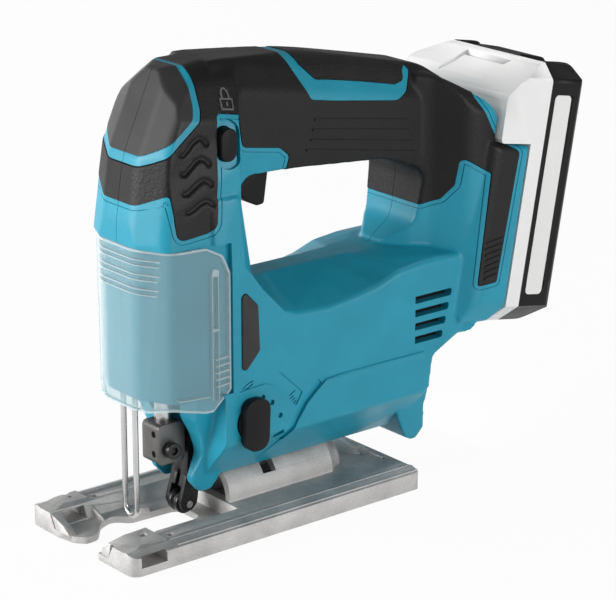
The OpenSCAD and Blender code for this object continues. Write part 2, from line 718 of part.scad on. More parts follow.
module armature() {
    color(DARK_STEEL) from_front() translate([0, 0, motor_z]) difference() {
        rod_x(motor_x0 + 8, can_end - 18, armature_r);
        for (a = [0:30:330]) rotate([a, 0, 0]) box(motor_x0 + 7, can_end - 17, -0.8, 0.8, 7, 12.5);
        rod_x(motor_x0, can_end, shaft_r + run_fit);
    }
}
module commutator() {
    color(BRASS) from_front() ring_x(can_end - 12, can_end - 1, commutator_r, shaft_r + run_fit, motor_z);
}
module motor_shaft() {
    color(STEEL) from_front() {
        rod_x(gear_x, gear_back + 1, pinion_bore, 0, motor_z);
        rod_x(gear_back + 1 - eps, bay_end + bearing_w, shaft_r, 0, motor_z);
    }
}
module pinion() {
    color(STEEL) from_front() translate([0, 0, motor_z]) difference() {
        translate([gear_x, 0, 0]) rotate([90, 0, 0]) gear(pinion_teeth, gear_wide);
        rod_x(gear_x - 1, gear_back + 1, pinion_bore + run_fit);
    }
}
module fan() {
    color(BLACK) from_front() translate([0, 0, motor_z]) difference() {
        union() {
            rod_x(fan_x, fan_x + 1.5, fan_r);
            rod_x(fan_x, fan_x + 8, 6);
            for (a = [0:30:330]) rotate([a, 0, 0]) box(fan_x, fan_x + 7, -0.6, 0.6, 5, fan_r - 0.5);
        }
        rod_x(fan_x - 1, fan_x + 9, shaft_r + run_fit);
    }
}
module bearing(x) {
    color(STEEL) from_front() ring_x(x, x + bearing_w, bearing_r, shaft_r + run_fit, motor_z);
}
module front_bearing() bearing(case_x1 - bearing_w);
module rear_bearing() bearing(bay_end);

// ---- Orbital action and blade guide ----
module orbital_lever() {
    color(BLACK) from_front() {
        rod_y(-body_half + 1.5, cam_half + 3.5, lever_r, lever_x, lever_z);
        rod_y(-body_half - 1, -body_half + 2, 7.8, lever_x, lever_z);
        side_cut(rounded([[lever_x - 6.5, lever_z - 12, 5], [lever_x + 5.5, lever_z - 12, 5],
            [lever_x + 6.5, lever_z + 11, 5], [lever_x - 6.5, lever_z + 11, 5]]), -body_half - 4.5, -body_half - 0.5);
    }
}
module orbital_cam() {
    color(STEEL) from_front() difference() {
        rod_y(-cam_half, cam_half, 4.6, lever_x + 1, lever_z);
        rod_y(-cam_half - 1, cam_half + 1, lever_r + run_fit, lever_x, lever_z);
    }
}
module roller_holder() {
    color(BLACK) from_front() difference() {
        side_cut(rounded([[60.6, 33.5, 3.4], [62.4, 45, 1.6], [59.6, 47.4, 1.6], [53.2, 41.4, 3.4], [51.6, 22, 3],
            [47.6, 8.6, 4.2], [52.4, 4.2, 4.2], [57, 8.4, 4.2]]), -holder_half, holder_half);
        rod_y(-10, 10, pin_r + run_fit, pivot_x, pivot_z);
        rod_y(-10, 10, roller_pin_r + run_fit, roller_x, roller_z);
        side_cut([[40, 0], [40, 17], [60, 17], [60, 0]], -roller_half - 0.3, roller_half + 0.3);
        side_cut([[40, 0], [40, 26], [52, 24], [54, 17], [50, 0]], -1.2, 1.2);
    }
}
module holder_pin() color(STEEL) from_front() rod_y(-13.8, 13.8, pin_r, pivot_x, pivot_z);
module guide_roller() {
    color(STEEL) from_front() translate([roller_x, 0, roller_z]) rotate([90, 0, 0]) rotate_extrude()
        polygon([[roller_pin_r + run_fit, -roller_half], [roller_r, -roller_half], [roller_r, -1.2],
            [roller_r - 1.2, -0.5], [roller_r - 1.2, 0.5], [roller_r, 1.2], [roller_r, roller_half],
            [roller_pin_r + run_fit, roller_half]]);
}
module roller_pin() color(STEEL) from_front() rod_y(-holder_half - 0.8, holder_half + 0.8, roller_pin_r, roller_x, roller_z);
module guard_wire() {
    bend_z = wire_low + wire_r + wire_half;
    color(STEEL) from_front() {
        for (s = [-1, 1]) rod_z(bend_z, wire_top, wire_r, wire_x, s * wire_half);
        translate([wire_x, 0, bend_z]) rotate([-90, 0, 90]) rotate_extrude(angle = 180)
            translate([wire_half, 0]) circle(r = wire_r);
    }
}
module dust_cover() {
    color(CLEAR) from_front() intersection() {
        difference() {
            plan_cut(cover_plan(0), cover_z0, cover_z1);
            plan_cut(cover_plan(cover_wall), cover_z0 - 1, cover_z1 + 1);
        }
        side_cut(rounded([[10, 84, 0], [19, 73, 10], [25, cover_z0, 3], [48, cover_z0, 2], [cover_x1, 68, 2],
            [cover_x1, 119, 3], [53, 127, 4], [44, cover_z1, 2], [10, cover_z1, 0]]), -40, 40);
    }
}

// ---- Sole and its bevel clamp ----
module sole_outline() {
    w = sole_w / 2;
    polygon(rounded([[0, -w, 4.5], [sole_len, -w, 1.5], [sole_len, w, 1.5], [0, w, 4.5], [0, 17, 1], [1.6, 8, 6],
        [5.5, 3.6, 2], [11.5, 4, 5], [19, 13, 8], [27, 16.4, 5], [33, slot_half + 1, 4], [slot_end, slot_half, 4],
        [slot_end, -slot_half, 4], [31.5, -slot_half, 2], [29.5, -12.5, 2], [0, -12.5, 0.6]]));
}
// Upper half of a round form along X, from its radius at each place
module arch(profile) translate([0, 0, sole_h - eps]) rotate([90, 0, 0]) rotate([0, 90, 0])
    rotate_extrude(angle = 180) polygon(profile);
module base_plate() {
    w = sole_w / 2;
    hollow_r = saddle_r - saddle_wall;
    slot_turn = bevel_max + asin((bolt_r + 0.6) / hollow_r);
    color(ALUMINIUM) from_front() difference() {
        union() {
            intersection() {
                linear_extrude(sole_h + 0.5) sole_outline();
                front_cut(rounded(across([[w, -1, 0], [w, sole_h - 1.3, 0], [w - 5, sole_h + 0.5, 0], [w - 7.5, sole_h, 0]])),
                    -1, sole_len + 1);
            }
            arch([[0, saddle_x0], [saddle_r, saddle_x0], [saddle_r, saddle_x1], [saddle_r - 4, saddle_x1 + 4],
                [saddle_r - 6, saddle_x1 + 9], [0, saddle_x1 + 11]]);
        }
        front_cut(rounded(across([[20, sole_floor, 0], [24, sole_h + 1, 0]])), -1, zone_end);
        box(4.2, 4.2 + fence_w, -50, 50, 3.5, 8.5);
        arch([[0, saddle_x0 - 1], [hollow_r, saddle_x0 - 1], [hollow_r, saddle_x1 - 4], [0, saddle_x1 - 4]]);
        box(saddle_x0 + 3, saddle_x1 - 6, -hollow_r + 1, hollow_r - 1, sole_floor, sole_h + 1);
        translate([0, 0, sole_h]) front_cut(concat([[0, 0]], [for (a = [-slot_turn:slot_turn / 2:slot_turn])
            (saddle_r + 6) * [sin(a), cos(a)]]), bolt_x - bolt_r - 0.5, bolt_x + bolt_r + 0.5);
        box(bolt_x - 4, bolt_x + 4, -4, 4, -1, sole_floor + 1);
        for (p = FENCE_SCREWS) rod_z(4, sole_h + 2, fence_screw_r, p.x, p.y);
    }
}
module base_cradle() {
    color(ALUMINIUM) from_front() difference() {
        box(cradle_x0, cradle_x1, -cradle_half, cradle_half, sole_h + 6, cradle_top);
        rod_x(cradle_x0 - 1, cradle_x1 + 1, saddle_r + saddle_fit, 0, sole_h);
        rod_z(sole_h, cradle_top + 1, bolt_r + run_fit, bolt_x);
    }
}
module bevel_plate() {
    color(STEEL) from_front() difference() {
        intersection() {
            rod_x(bolt_x - 10, bolt_x + 10, saddle_r - saddle_wall - saddle_fit, 0, sole_h);
            box(bolt_x - 10, bolt_x + 10, -6.5, 6.5, plate_z, sole_h + saddle_r);
        }
        rod_z(sole_h, sole_h + saddle_r, bolt_r + run_fit, bolt_x);
    }
}
module bevel_bolt() {
    color(BLACK) from_front() difference() {
        union() {
            rod_z(plate_z - eps, cradle_top - 1, bolt_r, bolt_x);
            rod_z(plate_z - 3.5, plate_z, 5, bolt_x);
        }
        translate([bolt_x, 0, plate_z - 4.5]) cylinder(r = 2.4, h = 3.4, $fn = 6);
    }
}

// ---- Battery, drawn in the leaned frame ----
module pack_top() {
    front_cut(rounded(across([[pack_half, -5, 3], [pack_half, pack_len - 8, 3], [pack_half - 7, pack_len - 1, 3],
        [pack_half - 20, pack_len + 3, 3]])), -40, 60);
}
module battery_rail_case() {
    white = pack_rail + 0.4;
    color(WHITE) from_front() leaned() difference() {
        union() {
            intersection() {
                side_cut(rounded([[0.4, pack_low, 0], [white, pack_low, 0], [white, pack_len - 1, 0], [5, pack_len - 2, 3],
                    [-11.5, pack_len - 10, 4], [-18, pack_len - 16, 4], [-18, foot_len + 0.8, 2],
                    [0.4, foot_len + 0.8, 0]]), -50, 50);
                pack_top();
            }
            box(-rail_depth, 1 - rail_lip - 2 * slide_gap, -rail_half, rail_half, 3, foot_len + 2);
            box(-rail_depth, 1, -rail_neck, rail_neck, 3, foot_len + 2);
        }
        box(2.4, white + 1, -pack_half + 2, pack_half - 2, 2, pack_len - 14);
        box(-rail_depth + 2, 3, -rail_neck + 2, rail_neck - 2, 6, pack_len - 24);
        for (y = [-blade_gap, 0, blade_gap]) box(-rail_depth - 1, -8, y - 1.1, y + 1.1, -2, 46);
        box(latch_b0 - slide_gap, latch_b1 + 1.4, -latch_half - slide_gap, latch_half + slide_gap,
            latch_t - latch_press, pack_len + 10);
        translate([latch_b, 0, 0]) rod_z(latch_t - 11, latch_t, 3.6);
    }
}
module battery_shell() {
    white = pack_rail + 0.4;
    back = white + pack_shell;
    color(BLACK) from_front() leaned() difference() {
        intersection() {
            side_cut(rounded([[white, pack_low, 0], [back - 6, pack_low, 4], [back, 4, 4], [back, pack_len - 12, 3],
                [back - 6, pack_len - 1, 4], [white, pack_len, 0]]), -50, 50);
            pack_top();
            plan_cut(rounded(both([[white - 1, pack_half, 0], [back, pack_half, 5]])), -10, 150);
        }
        box(white - 1, back - 2, -pack_half + 2, pack_half - 2, 2.4, pack_len - 6);
        label_space();
    }
}
module label_space() {
    side_cut(rounded([[13.5, 7, 2.5], [25.5, 7, 2.5], [25.5, 98, 2.5], [13.5, 98, 2.5]]), -pack_half - 1,
        -pack_half + label_deep);
}
module battery_label() {
    color(WHITE) from_front() leaned() intersection() {
        label_space();
        box(0, 50, -pack_half, 0, 0, 150);
    }
}
function cell_t(i) = 13 + 2 * (cell_r + 0.4) * i;
module cell_holder() {
    holder_in = cell_len / 2 - 6.5;
    color(BLACK) from_front() leaned() for (s = [-1, 1]) difference() {
        box(7, 27.9, s < 0 ? -pack_half + 2 : holder_in, s < 0 ? -holder_in : pack_half - 2, 2.4, pack_len - 15);
        for (i = [0:4]) rod_y(-cell_len / 2 - run_fit, cell_len / 2 + run_fit, cell_r + run_fit, cell_b, cell_t(i));
    }
}
module battery_cells() {
    color(GREEN) from_front() leaned() for (i = [0:4]) rod_y(-cell_len / 2, cell_len / 2, cell_r, cell_b, cell_t(i));
}
module battery_board() {
    color(GREEN) from_front() leaned() box(board_b, board_b + 1.6, -rail_neck + 2, rail_neck - 2, 10, 76);
}
module battery_terminals() {
    color(BRASS) from_front() leaned() for (y = [-blade_gap, 0, blade_gap]) difference() {
        box(board_b - 5, board_b, y - 1.7, y + 1.7, 26, 40);
        box(board_b - 6, board_b - 1, y - 0.9, y + 0.9, 25, 41);
    }
}
module latch_button() {
    color(WHITE) from_front() leaned() side_cut(rounded([[latch_b0, latch_t, 1], [latch_b1, latch_t, 1],
        [latch_b1, latch_t + 10, 1], [-6, latch_t + 5.6, 30], [latch_b0, latch_t + 2.4, 1]]), -latch_half, latch_half);
}
module latch_spring() {
    color(STEEL) from_front() leaned() translate([latch_b, 0, latch_t - 11]) coil(2.6, 0.35, 5, 11);
}

housing(-1);  // housing_left
housing(1);  // housing_right
grip(-1);  // grip_left
grip(1);  // grip_right
nose_grip(-1);  // nose_grip_left
nose_grip(1);  // nose_grip_right
side_pad(-1);  // side_pad_left
side_pad(1);  // side_pad_right
housing_screws();
trigger();
switch_body();
switch_plunger();
trigger_spring();
lock_off_button();
terminal_block();
gear_case();
lower_bush();
upper_bush();
plunger();
blade_clamp();
clamp_screw();
drive_gear();
crank_roller();
gear_axle();
gear_bearing();
motor_can();
magnets();
end_bell();
brushes();
armature();
commutator();
motor_shaft();
pinion();
fan();
front_bearing();
rear_bearing();
orbital_lever();
orbital_cam();
roller_holder();
holder_pin();
guide_roller();
roller_pin();
guard_wire();
dust_cover();
base_plate();
base_cradle();
bevel_plate();
bevel_bolt();
battery_rail_case();
battery_shell();
battery_label();
cell_holder();
battery_cells();
battery_board();
battery_terminals();
latch_button();
latch_spring();
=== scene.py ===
"""Cordless jigsaw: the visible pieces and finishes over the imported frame.

Shapes are drawn in millimetres. x counts back from the front edge of the sole,
y is 0 on the seam and z is 0 under the sole.
"""

import math

import bmesh
import bpy
from mathutils import Matrix, Vector


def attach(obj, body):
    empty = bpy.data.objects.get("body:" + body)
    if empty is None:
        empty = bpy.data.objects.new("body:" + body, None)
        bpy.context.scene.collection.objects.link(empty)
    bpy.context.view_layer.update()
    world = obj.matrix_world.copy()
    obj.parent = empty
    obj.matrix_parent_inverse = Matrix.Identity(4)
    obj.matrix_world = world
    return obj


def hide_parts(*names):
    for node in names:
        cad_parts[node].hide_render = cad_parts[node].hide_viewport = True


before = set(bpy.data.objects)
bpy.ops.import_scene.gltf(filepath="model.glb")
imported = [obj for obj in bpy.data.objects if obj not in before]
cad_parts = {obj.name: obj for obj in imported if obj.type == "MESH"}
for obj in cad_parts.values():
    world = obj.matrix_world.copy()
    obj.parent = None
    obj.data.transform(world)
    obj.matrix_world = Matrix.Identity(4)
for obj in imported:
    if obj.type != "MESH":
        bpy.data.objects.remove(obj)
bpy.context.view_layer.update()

MM = 0.001
FRONT_EDGE = -78.0  # where the sole's front edge stands in the frame
FOOT = (207.3, 0, 74.2)  # where the leaned axes of the foot and the pack start
FOOT_LEAN = 10
SOLE_TOP = 9.3
MOTOR_Z = 73
LEVER_AT = (68, 51)  # x and z of the orbital lever's axis
HOLDER_PIN_AT = (57, 38)
LOCK_AT = (60, 172)
FOOT_HALF, FOOT_LEN = 37.5, 74.3
COVER_LOW, COVER_TOP = 59.5, 131.2
SEAM_GAP = 0.11
REACH = 45  # a side outline is drawn this deep to each side of the seam, past every flank
# Each screw's x and z, and the y of its head's seat
SCREWS = [(46, 190, 9), (69.5, 140, 14), (76, 56.5, 14), (84, 43.5, 14), (128, 42, 14),
          (187, 84, 14), (184, 150, 14), (141, 161, 7)]
scene = bpy.context.scene


# ---- Outlines ----
NEARLY_STRAIGHT = math.radians(89.5)  # half of an angle that needs no rounding
MITRE_LIMIT = 0.5


def rounded(corners, steps=8):
    """A closed outline from corners (a, b) or (a, b, radius)."""
    path = []
    for i, corner in enumerate(corners):
        at = Vector(corner[:2])
        radius = corner[2] if len(corner) > 2 else 0
        to_last = (Vector(corners[i - 1][:2]) - at).normalized()
        to_next = (Vector(corners[(i + 1) % len(corners)][:2]) - at).normalized()
        half = to_last.angle(to_next) / 2
        if radius <= 0 or half > NEARLY_STRAIGHT:
            path.append(at)
            continue
        centre = at + (to_last + to_next).normalized() * radius / math.sin(half)
        start = at + to_last * radius / math.tan(half) - centre
        end = at + to_next * radius / math.tan(half) - centre
        sweep = start.angle_signed(end)
        for k in range(steps + 1):
            path.append(centre + Matrix.Rotation(-sweep * k / steps, 2) @ start)
    return path


def grown(path, by):
    """The outline moved outwards by a distance, or inwards where it is negative."""
    area = sum(a.cross(b) for a, b in zip(path, path[1:] + path[:1]))
    turn = 1 if area > 0 else -1
    moved = []
    for i, at in enumerate(path):
        before = (at - path[i - 1]).normalized()
        after = (path[(i + 1) % len(path)] - at).normalized()
        along = (before + after).normalized()
        out = Vector((along.y, -along.x)) * turn
        moved.append(at + out * by / max(MITRE_LIMIT, along.dot(after)))
    return moved


def both_sides(corners):
    """Corners (a, b) with b above 0, closed by their mirror image below."""
    return corners + [(c[0], -c[1]) + tuple(c[2:]) for c in reversed(corners)]


def across(corners):
    """Corners (a, b) with a above 0, closed by their mirror image."""
    return corners + [(-c[0], c[1]) + tuple(c[2:]) for c in reversed(corners)]


def ribbon(line, width):
    """A closed outline along an open line of points (a, b), width across."""
    points = [Vector(p) for p in line]
    near_edge, far_edge = [], []
    for i, at in enumerate(points):
        along = (points[min(i + 1, len(points) - 1)] - points[max(i - 1, 0)]).normalized()
        out = Vector((along.y, -along.x)) * width / 2
        near_edge.append(at + out)
        far_edge.append(at - out)
    return near_edge + far_edge[::-1]


class Solid:
    """A closed mesh. & keeps what two share, | joins them, - cuts one from the other."""

    def __init__(self, mesh):
        self.mesh = mesh

    def made_by(self, *modifiers):
        """The solid that modifiers, pairs of a kind and its settings, make of this one."""
        piece = bpy.data.objects.new("workpiece", self.mesh)
        scene.collection.objects.link(piece)
        tools = []
        for kind, settings in modifiers:
            modifier = piece.modifiers.new(kind.lower(), kind)
            for key, value in settings.items():
                if isinstance(value, Solid):
                    value = bpy.data.objects.new("tool", value.mesh)
                    scene.collection.objects.link(value)
                    tools.append(value)
                setattr(modifier, key, value)
        ready = piece.evaluated_get(bpy.context.evaluated_depsgraph_get())
        mesh = bpy.data.meshes.new_from_object(ready)
        for used in [piece] + tools:
            bpy.data.objects.remove(used)
        return Solid(mesh)

    def joined(self, other, operation):
        return self.made_by(
            ("BOOLEAN", {"object": other, "operation": operation, "solver": "MANIFOLD"}))

    def __and__(self, other):
        return self.joined(other, "INTERSECT")

    def __or__(self, other):
        return self.joined(other, "UNION")

    def __sub__(self, other):
        return self.joined(other, "DIFFERENCE")

    def moved(self, matrix):
        mesh = self.mesh.copy()
        mesh.transform(matrix)
        return Solid(mesh)

    def placed(self, at, lean=0):
        return self.moved(Matrix.Translation(at) @ Matrix.Rotation(math.radians(lean), 4, "Y"))

    def leaned(self):
        """Taken from the upright to the foot's own axes."""
        return self.placed(FOOT, FOOT_LEAN)

    def softened(self, voxel, passes):
        """Remeshed in voxels and smoothed, so that its joins are rounded."""
        size = voxel * 1
        return self.made_by(
            ("REMESH", {"mode": "VOXEL", "voxel_size": size}),
            ("SMOOTH", {"factor": 0.5, "iterations": passes}))

    def swollen(self, by):
        """The skin moved outwards by a distance, or inwards where it is negative."""
        bm = bmesh.new()
        bm.from_mesh(self.mesh)
        bm.normal_update()
        shifts = [(v, v.normal * by) for v in bm.verts]
        for v, shift in shifts:
            v.co += shift
        return solid(bm)

    def thinned(self, share):
        """The same form with fewer triangles."""
        return self.made_by(("DECIMATE", {"ratio": share}))

    def bevelled(self, width, segments=2, angle=30):
        return self.made_by(("BEVEL", {
            "width": width, "segments": segments, "limit_method": "ANGLE",
            "angle_limit": math.radians(angle), "use_clamp_overlap": True,
            "harden_normals": False}))


def solid(bm):
    mesh = bpy.data.meshes.new("solid")
    bm.to_mesh(mesh)
    bm.free()
    return Solid(mesh)


def extruded(points, along):
    """A flat outline of points (x, y, z) swept along a vector."""
    bm = bmesh.new()
    face = bm.faces.new([bm.verts.new(p) for p in points])
    swept = bmesh.ops.extrude_face_region(bm, geom=[face])
    far = [part for part in swept["geom"] if isinstance(part, bmesh.types.BMVert)]
    bmesh.ops.translate(bm, verts=far, vec=along)
    bmesh.ops.recalc_face_normals(bm, faces=bm.faces)
    return solid(bm)


def as_path(corners, steps=8):
    if isinstance(corners[0], Vector):
        return corners
    return rounded(corners, steps)


def side(corners, y0=-REACH, y1=REACH, steps=8):
    """A side view outline (x, z), as deep as y0 to y1."""
    return extruded([(p.x, y0, p.y) for p in as_path(corners, steps)], (0, y1 - y0, 0))


def hull(*outlines):
    """The tightest convex solid round outlines of points (x, y, z)."""
    bm = bmesh.new()
    for outline in outlines:
        for at in outline:
            bm.verts.new(at)
    bmesh.ops.convex_hull(bm, input=bm.verts)
    bmesh.ops.delete(bm, geom=[v for v in bm.verts if not v.link_faces], context="VERTS")
    return solid(bm)


def plan(corners, z0, z1, steps=8):
    """A top view outline (x, y), from z0 up to z1."""
    return extruded([(p.x, p.y, z0) for p in as_path(corners, steps)], (0, 0, z1 - z0))


def front(corners, x0, x1):
    """A front view outline (y, z), from x0 back to x1."""
    return extruded([(x0, p.x, p.y) for p in as_path(corners)], (x1 - x0, 0, 0))


def block(x0, x1, y0, y1, z0, z1):
    return plan([(x0, y0), (x1, y0), (x1, y1), (x0, y1)], z0, z1)


def rod(axis, lo, hi, radius, a, b, steps=48):
    """A round bar along x (a, b are y, z), y (x, z) or z (x, y)."""
    turn = {"x": Matrix.Rotation(math.pi / 2, 4, "Y"),
            "y": Matrix.Rotation(-math.pi / 2, 4, "X"),
            "z": Matrix.Identity(4)}[axis]
    middle = (lo + hi) / 2
    at = {"x": (middle, a, b), "y": (a, middle, b), "z": (a, b, middle)}[axis]
    bm = bmesh.new()
    bmesh.ops.create_cone(bm, cap_ends=True, segments=steps, radius1=radius, radius2=radius,
                          depth=hi - lo, matrix=Matrix.Translation(at) @ turn)
    return solid(bm)


def union(parts):
    whole = parts[0]
    for part in parts[1:]:
        whole = whole | part
    return whole


def left_half(shape):
    return shape & block(-20, 300, -90, -SEAM_GAP, -20, 260)


def right_half(shape):
    return shape & block(-20, 300, SEAM_GAP, 90, -20, 260)


# ---- Finishes ----
COLOUR_MIX_INPUTS, COLOUR_MIX_OUTPUT = (0, 6, 7), 2  # the mix node's sockets that hold colours


class Value:
    """A socket that can stand in a sum."""

    def __init__(self, finish, socket):
        self.finish, self.socket = finish, socket

    def math(self, operation, *inputs):
        return self.finish.add("ShaderNodeMath", {"operation": operation}, *inputs)

    def __add__(self, other):
        return self.math("ADD", self, other)

    def __sub__(self, other):
        return self.math("SUBTRACT", self, other)

    def __mul__(self, other):
        return self.math("MULTIPLY", self, other)

    def limited(self, low, high):
        """0 at low and under it, 1 at high and over it."""
        return self.finish.add("ShaderNodeMapRange", {"clamp": True}, self, low, high, 0.0, 1.0)


class Finish:
    """A material. Constants go on the shader's own sockets; add makes any other node."""

    def __init__(self, name, **constants):
        self.material = bpy.data.materials.new(name)
        self.material.use_nodes = True
        self.tree = self.material.node_tree
        self.shader = self.tree.nodes["Principled BSDF"]
        for key, value in constants.items():
            self.shader.inputs[key.replace("_", " ")].default_value = value
        self.place = self.add("ShaderNodeTexCoord", {}, output="Object")

    def add(self, kind, settings, *inputs, output=0, **named):
        node = self.tree.nodes.new(kind)
        for key, value in settings.items():
            setattr(node, key, value)
        pairs = [(node.inputs[i], v) for i, v in enumerate(inputs)]
        pairs += [(node.inputs[key.replace("_", " ")], v) for key, v in named.items()]
        self.feed(pairs)
        return Value(self, node.outputs[output])

    def feed(self, pairs):
        """Give each socket its value, a link or a constant."""
        for socket, value in pairs:
            if isinstance(value, Value):
                self.tree.links.new(value.socket, socket)
            else:
                socket.default_value = value

    def noise(self, size, detail=3.0, roughness=0.55, stretch=(1, 1, 1)):
        """Cloudy noise whose lumps measure size millimetres."""
        where = self.add("ShaderNodeMapping", {}, self.place, Scale=stretch)
        return self.add("ShaderNodeTexNoise", {"noise_dimensions": "3D"}, Vector=where,
                        Scale=1 / MM / size, Detail=detail, Roughness=roughness, output="Fac")

    def cells(self, size, feature, randomness=1.0):
        """The distance to the middle of the nearest of cells that measure size millimetres."""
        return self.add("ShaderNodeTexVoronoi", {"feature": feature}, Vector=self.place,
                        Scale=1 / MM / size, Randomness=randomness, output="Distance")

    def blend(self, mask, first, second):
        """The first colour where mask is 0 and the second where it is 1."""
        node = self.tree.nodes.new("ShaderNodeMix")
        node.data_type = "RGBA"
        self.feed(zip([node.inputs[i] for i in COLOUR_MIX_INPUTS], (mask, first, second)))
        return Value(self, node.outputs[COLOUR_MIX_OUTPUT])

    def set(self, socket, value):
        self.tree.links.new(value.socket, self.shader.inputs[socket])

    def bumped(self, height, depth, under=None):
        """A bump of depth millimetres from height, over the one under it."""
        bump = self.add("ShaderNodeBump", {}, Strength=1.0, Distance=depth * MM, Height=height,
                        output="Normal")
        if under is not None:
            self.tree.links.new(under.socket, bump.socket.node.inputs["Normal"])
        self.set("Normal", bump)
        return bump


def grey(level):
    return (level, level, level, 1)


def moulded(name, colour, roughness, grain=0.35, depth=0.012, tint=0.08, specular=0.5):
    """Moulded plastic: a spark-eroded grain, slow changes of shade and faint rubbed patches."""
    finish = Finish(name, Specular_IOR_Level=specular)
    dull = tuple(c * (1 - tint) for c in colour)
    bright = tuple(min(1, c * (1 + tint)) for c in colour)
    cloud = finish.noise(22, 2.0)
    speck = finish.noise(grain, 2.0, 0.6)
    shade = (cloud + speck * 0.4).limited(0.45, 0.95)
    finish.set("Base Color", finish.blend(shade, dull + (1,), bright + (1,)))
    finish.set("Roughness", (finish.noise(9, 4.0) - 0.5) * 0.16 + (speck - 0.5) * 0.08 + roughness)
    fine = finish.bumped(speck, depth)
    finish.bumped(finish.noise(30, 1.0), 0.25, fine)
    return finish.material


def overmould(name, level, roughness, pattern):
    """Soft rubber with a matt bloom and the texture that its mould leaves."""
    finish = Finish(name, Specular_IOR_Level=0.22, Sheen_Weight=0.02, Sheen_Roughness=0.5)
    bloom = finish.noise(16, 3.0).limited(0.35, 0.75)
    speck = finish.noise(0.5, 2.0)
    dark = (level * 0.8, level * 0.77, level * 0.78, 1)
    pale = (level * 1.25, level * 1.2, level * 1.2, 1)
    finish.set("Base Color", finish.blend(bloom, dark, pale))
    finish.set("Roughness", bloom * 0.1 + (speck - 0.5) * 0.1 + roughness)
    skin = finish.bumped(speck, 0.02)
    if pattern == "grained":
        finish.bumped(finish.cells(1.1, "SMOOTH_F1"), 0.09, skin)
    if pattern == "dimpled":
        finish.bumped(finish.cells(1.9, "F1", 0.12).limited(0.1, 0.32), 0.3, skin)
    return finish.material


def metal(name, level, roughness, grain=0.4, depth=0.02, stretch=(1, 1, 1), metallic=1.0,
          warm=0.0, contrast=0.12):
    """Bare metal with clouds and a sanded grain: warm takes blue off, contrast darkens clouds."""
    finish = Finish(name, Metallic=metallic)
    cloud = finish.noise(12, 3.0)
    sand = finish.noise(grain, 3.0, 0.6, stretch)
    deep = level * (1 - contrast)
    dark = (deep, deep * (1 - warm), deep * (1 - 2 * warm), 1)
    light = (min(1, level * 1.06), level * 1.05 * (1 - warm), level * 1.04 * (1 - 2 * warm), 1)
    shade = (cloud * 0.6 + sand * 0.4).limited(0.3, 0.7)
    finish.set("Base Color", finish.blend(shade, dark, light))
    finish.set("Roughness", (cloud - 0.5) * 0.16 + (sand - 0.5) * 0.2 + roughness)
    finish.bumped(sand, depth)
    return finish.material


def clear_plastic(name, body, reflection_colour, opacity):
    """Polycarbonate: tinted and seen through face on, more opaque towards its edges, where a
    painted reflection whitens its colour.
    """
    finish = Finish(name, Roughness=0.08, IOR=1.5, Coat_Weight=0.4, Coat_Roughness=0.04)
    edge = finish.add("ShaderNodeLayerWeight", {}, Blend=0.42, output="Facing")
    haze = finish.noise(14, 2.0)
    rim = (edge * edge + (haze - 0.5) * 0.1).limited(0.25, 0.85)
    # Painted reflection: the colour turns whiter where the surface is seen edge on.
    finish.set("Base Color", finish.blend(rim, body + (1,), reflection_colour + (1,)))
    finish.set("Alpha", (edge * edge * 0.7 + opacity + (haze - 0.5) * 0.06).limited(0, 1))
    finish.set("Roughness", haze * 0.08 + 0.05)
    return finish.material


TEAL = moulded("teal_moulding", (0.01, 0.26, 0.37), roughness=0.4, specular=0.36)
GRIP_RUBBER = overmould("grained_rubber", level=0.008, roughness=0.42, pattern="grained")
# Smooth rubber is set lighter than the grained grip: partly its own smoother skin, partly painted
# light for the beak's lit front.
PLAIN_RUBBER = overmould("smooth_rubber", level=0.03, roughness=0.42, pattern="plain")
MARK_RUBBER = overmould("mark_rubber", level=0.12, roughness=0.5, pattern="plain")
DIMPLED_RUBBER = overmould("dimpled_rubber", level=0.015, roughness=0.5, pattern="dimpled")
BLACK = moulded("black_moulding", (0.006, 0.006, 0.0065), roughness=0.4, grain=0.3, depth=0.01,
                tint=0.15, specular=0.16)
WHITE = moulded("white_moulding", (0.78, 0.78, 0.775), roughness=0.4, grain=0.4, depth=0.006,
                tint=0.01)
LABEL = moulded("label_film", (0.74, 0.74, 0.73), roughness=0.25, grain=0.6, depth=0.002,
                tint=0.01)
CLEAR = clear_plastic("clear_moulding", body=(0.3, 0.47, 0.51), reflection_colour=(0.82, 0.91, 0.93),
                      opacity=0.26)
CLEAR_RIB = clear_plastic("clear_moulded_rib", body=(0.62, 0.74, 0.78),
                          reflection_colour=(0.85, 0.92, 0.94), opacity=0.42)
CAST = metal("cast_aluminium", level=0.58, roughness=0.67, grain=0.9, depth=0.2, metallic=0.96,
             warm=0.012, contrast=0.34)
STEEL = metal("ground_steel", level=0.6, roughness=0.28, grain=0.25, depth=0.01,
              stretch=(0.15, 1, 1))
SINTERED = metal("sintered_steel", level=0.3, roughness=0.45, grain=0.3, depth=0.03)
DULL_STEEL = metal("dull_clamp_steel", level=0.15, roughness=0.5, grain=0.3, depth=0.05,
                   metallic=0.85, warm=0.03)
BLACKENED = metal("blackened_steel", level=0.035, roughness=0.28, grain=0.5, depth=0.015,
                  metallic=0.7)
BRASS = metal("turned_brass", level=0.62, roughness=0.3, grain=0.3, depth=0.01, warm=0.2)
COPPER = metal("wound_copper", level=0.55, roughness=0.35, grain=0.6, depth=0.05,
               stretch=(1, 1, 4), warm=0.3)
BOARD = moulded("circuit_board", (0.01, 0.09, 0.04), roughness=0.3, grain=0.5, depth=0.01)
WRAP = moulded("cell_wrap", (0.02, 0.14, 0.2), roughness=0.22, grain=1.5, depth=0.01)


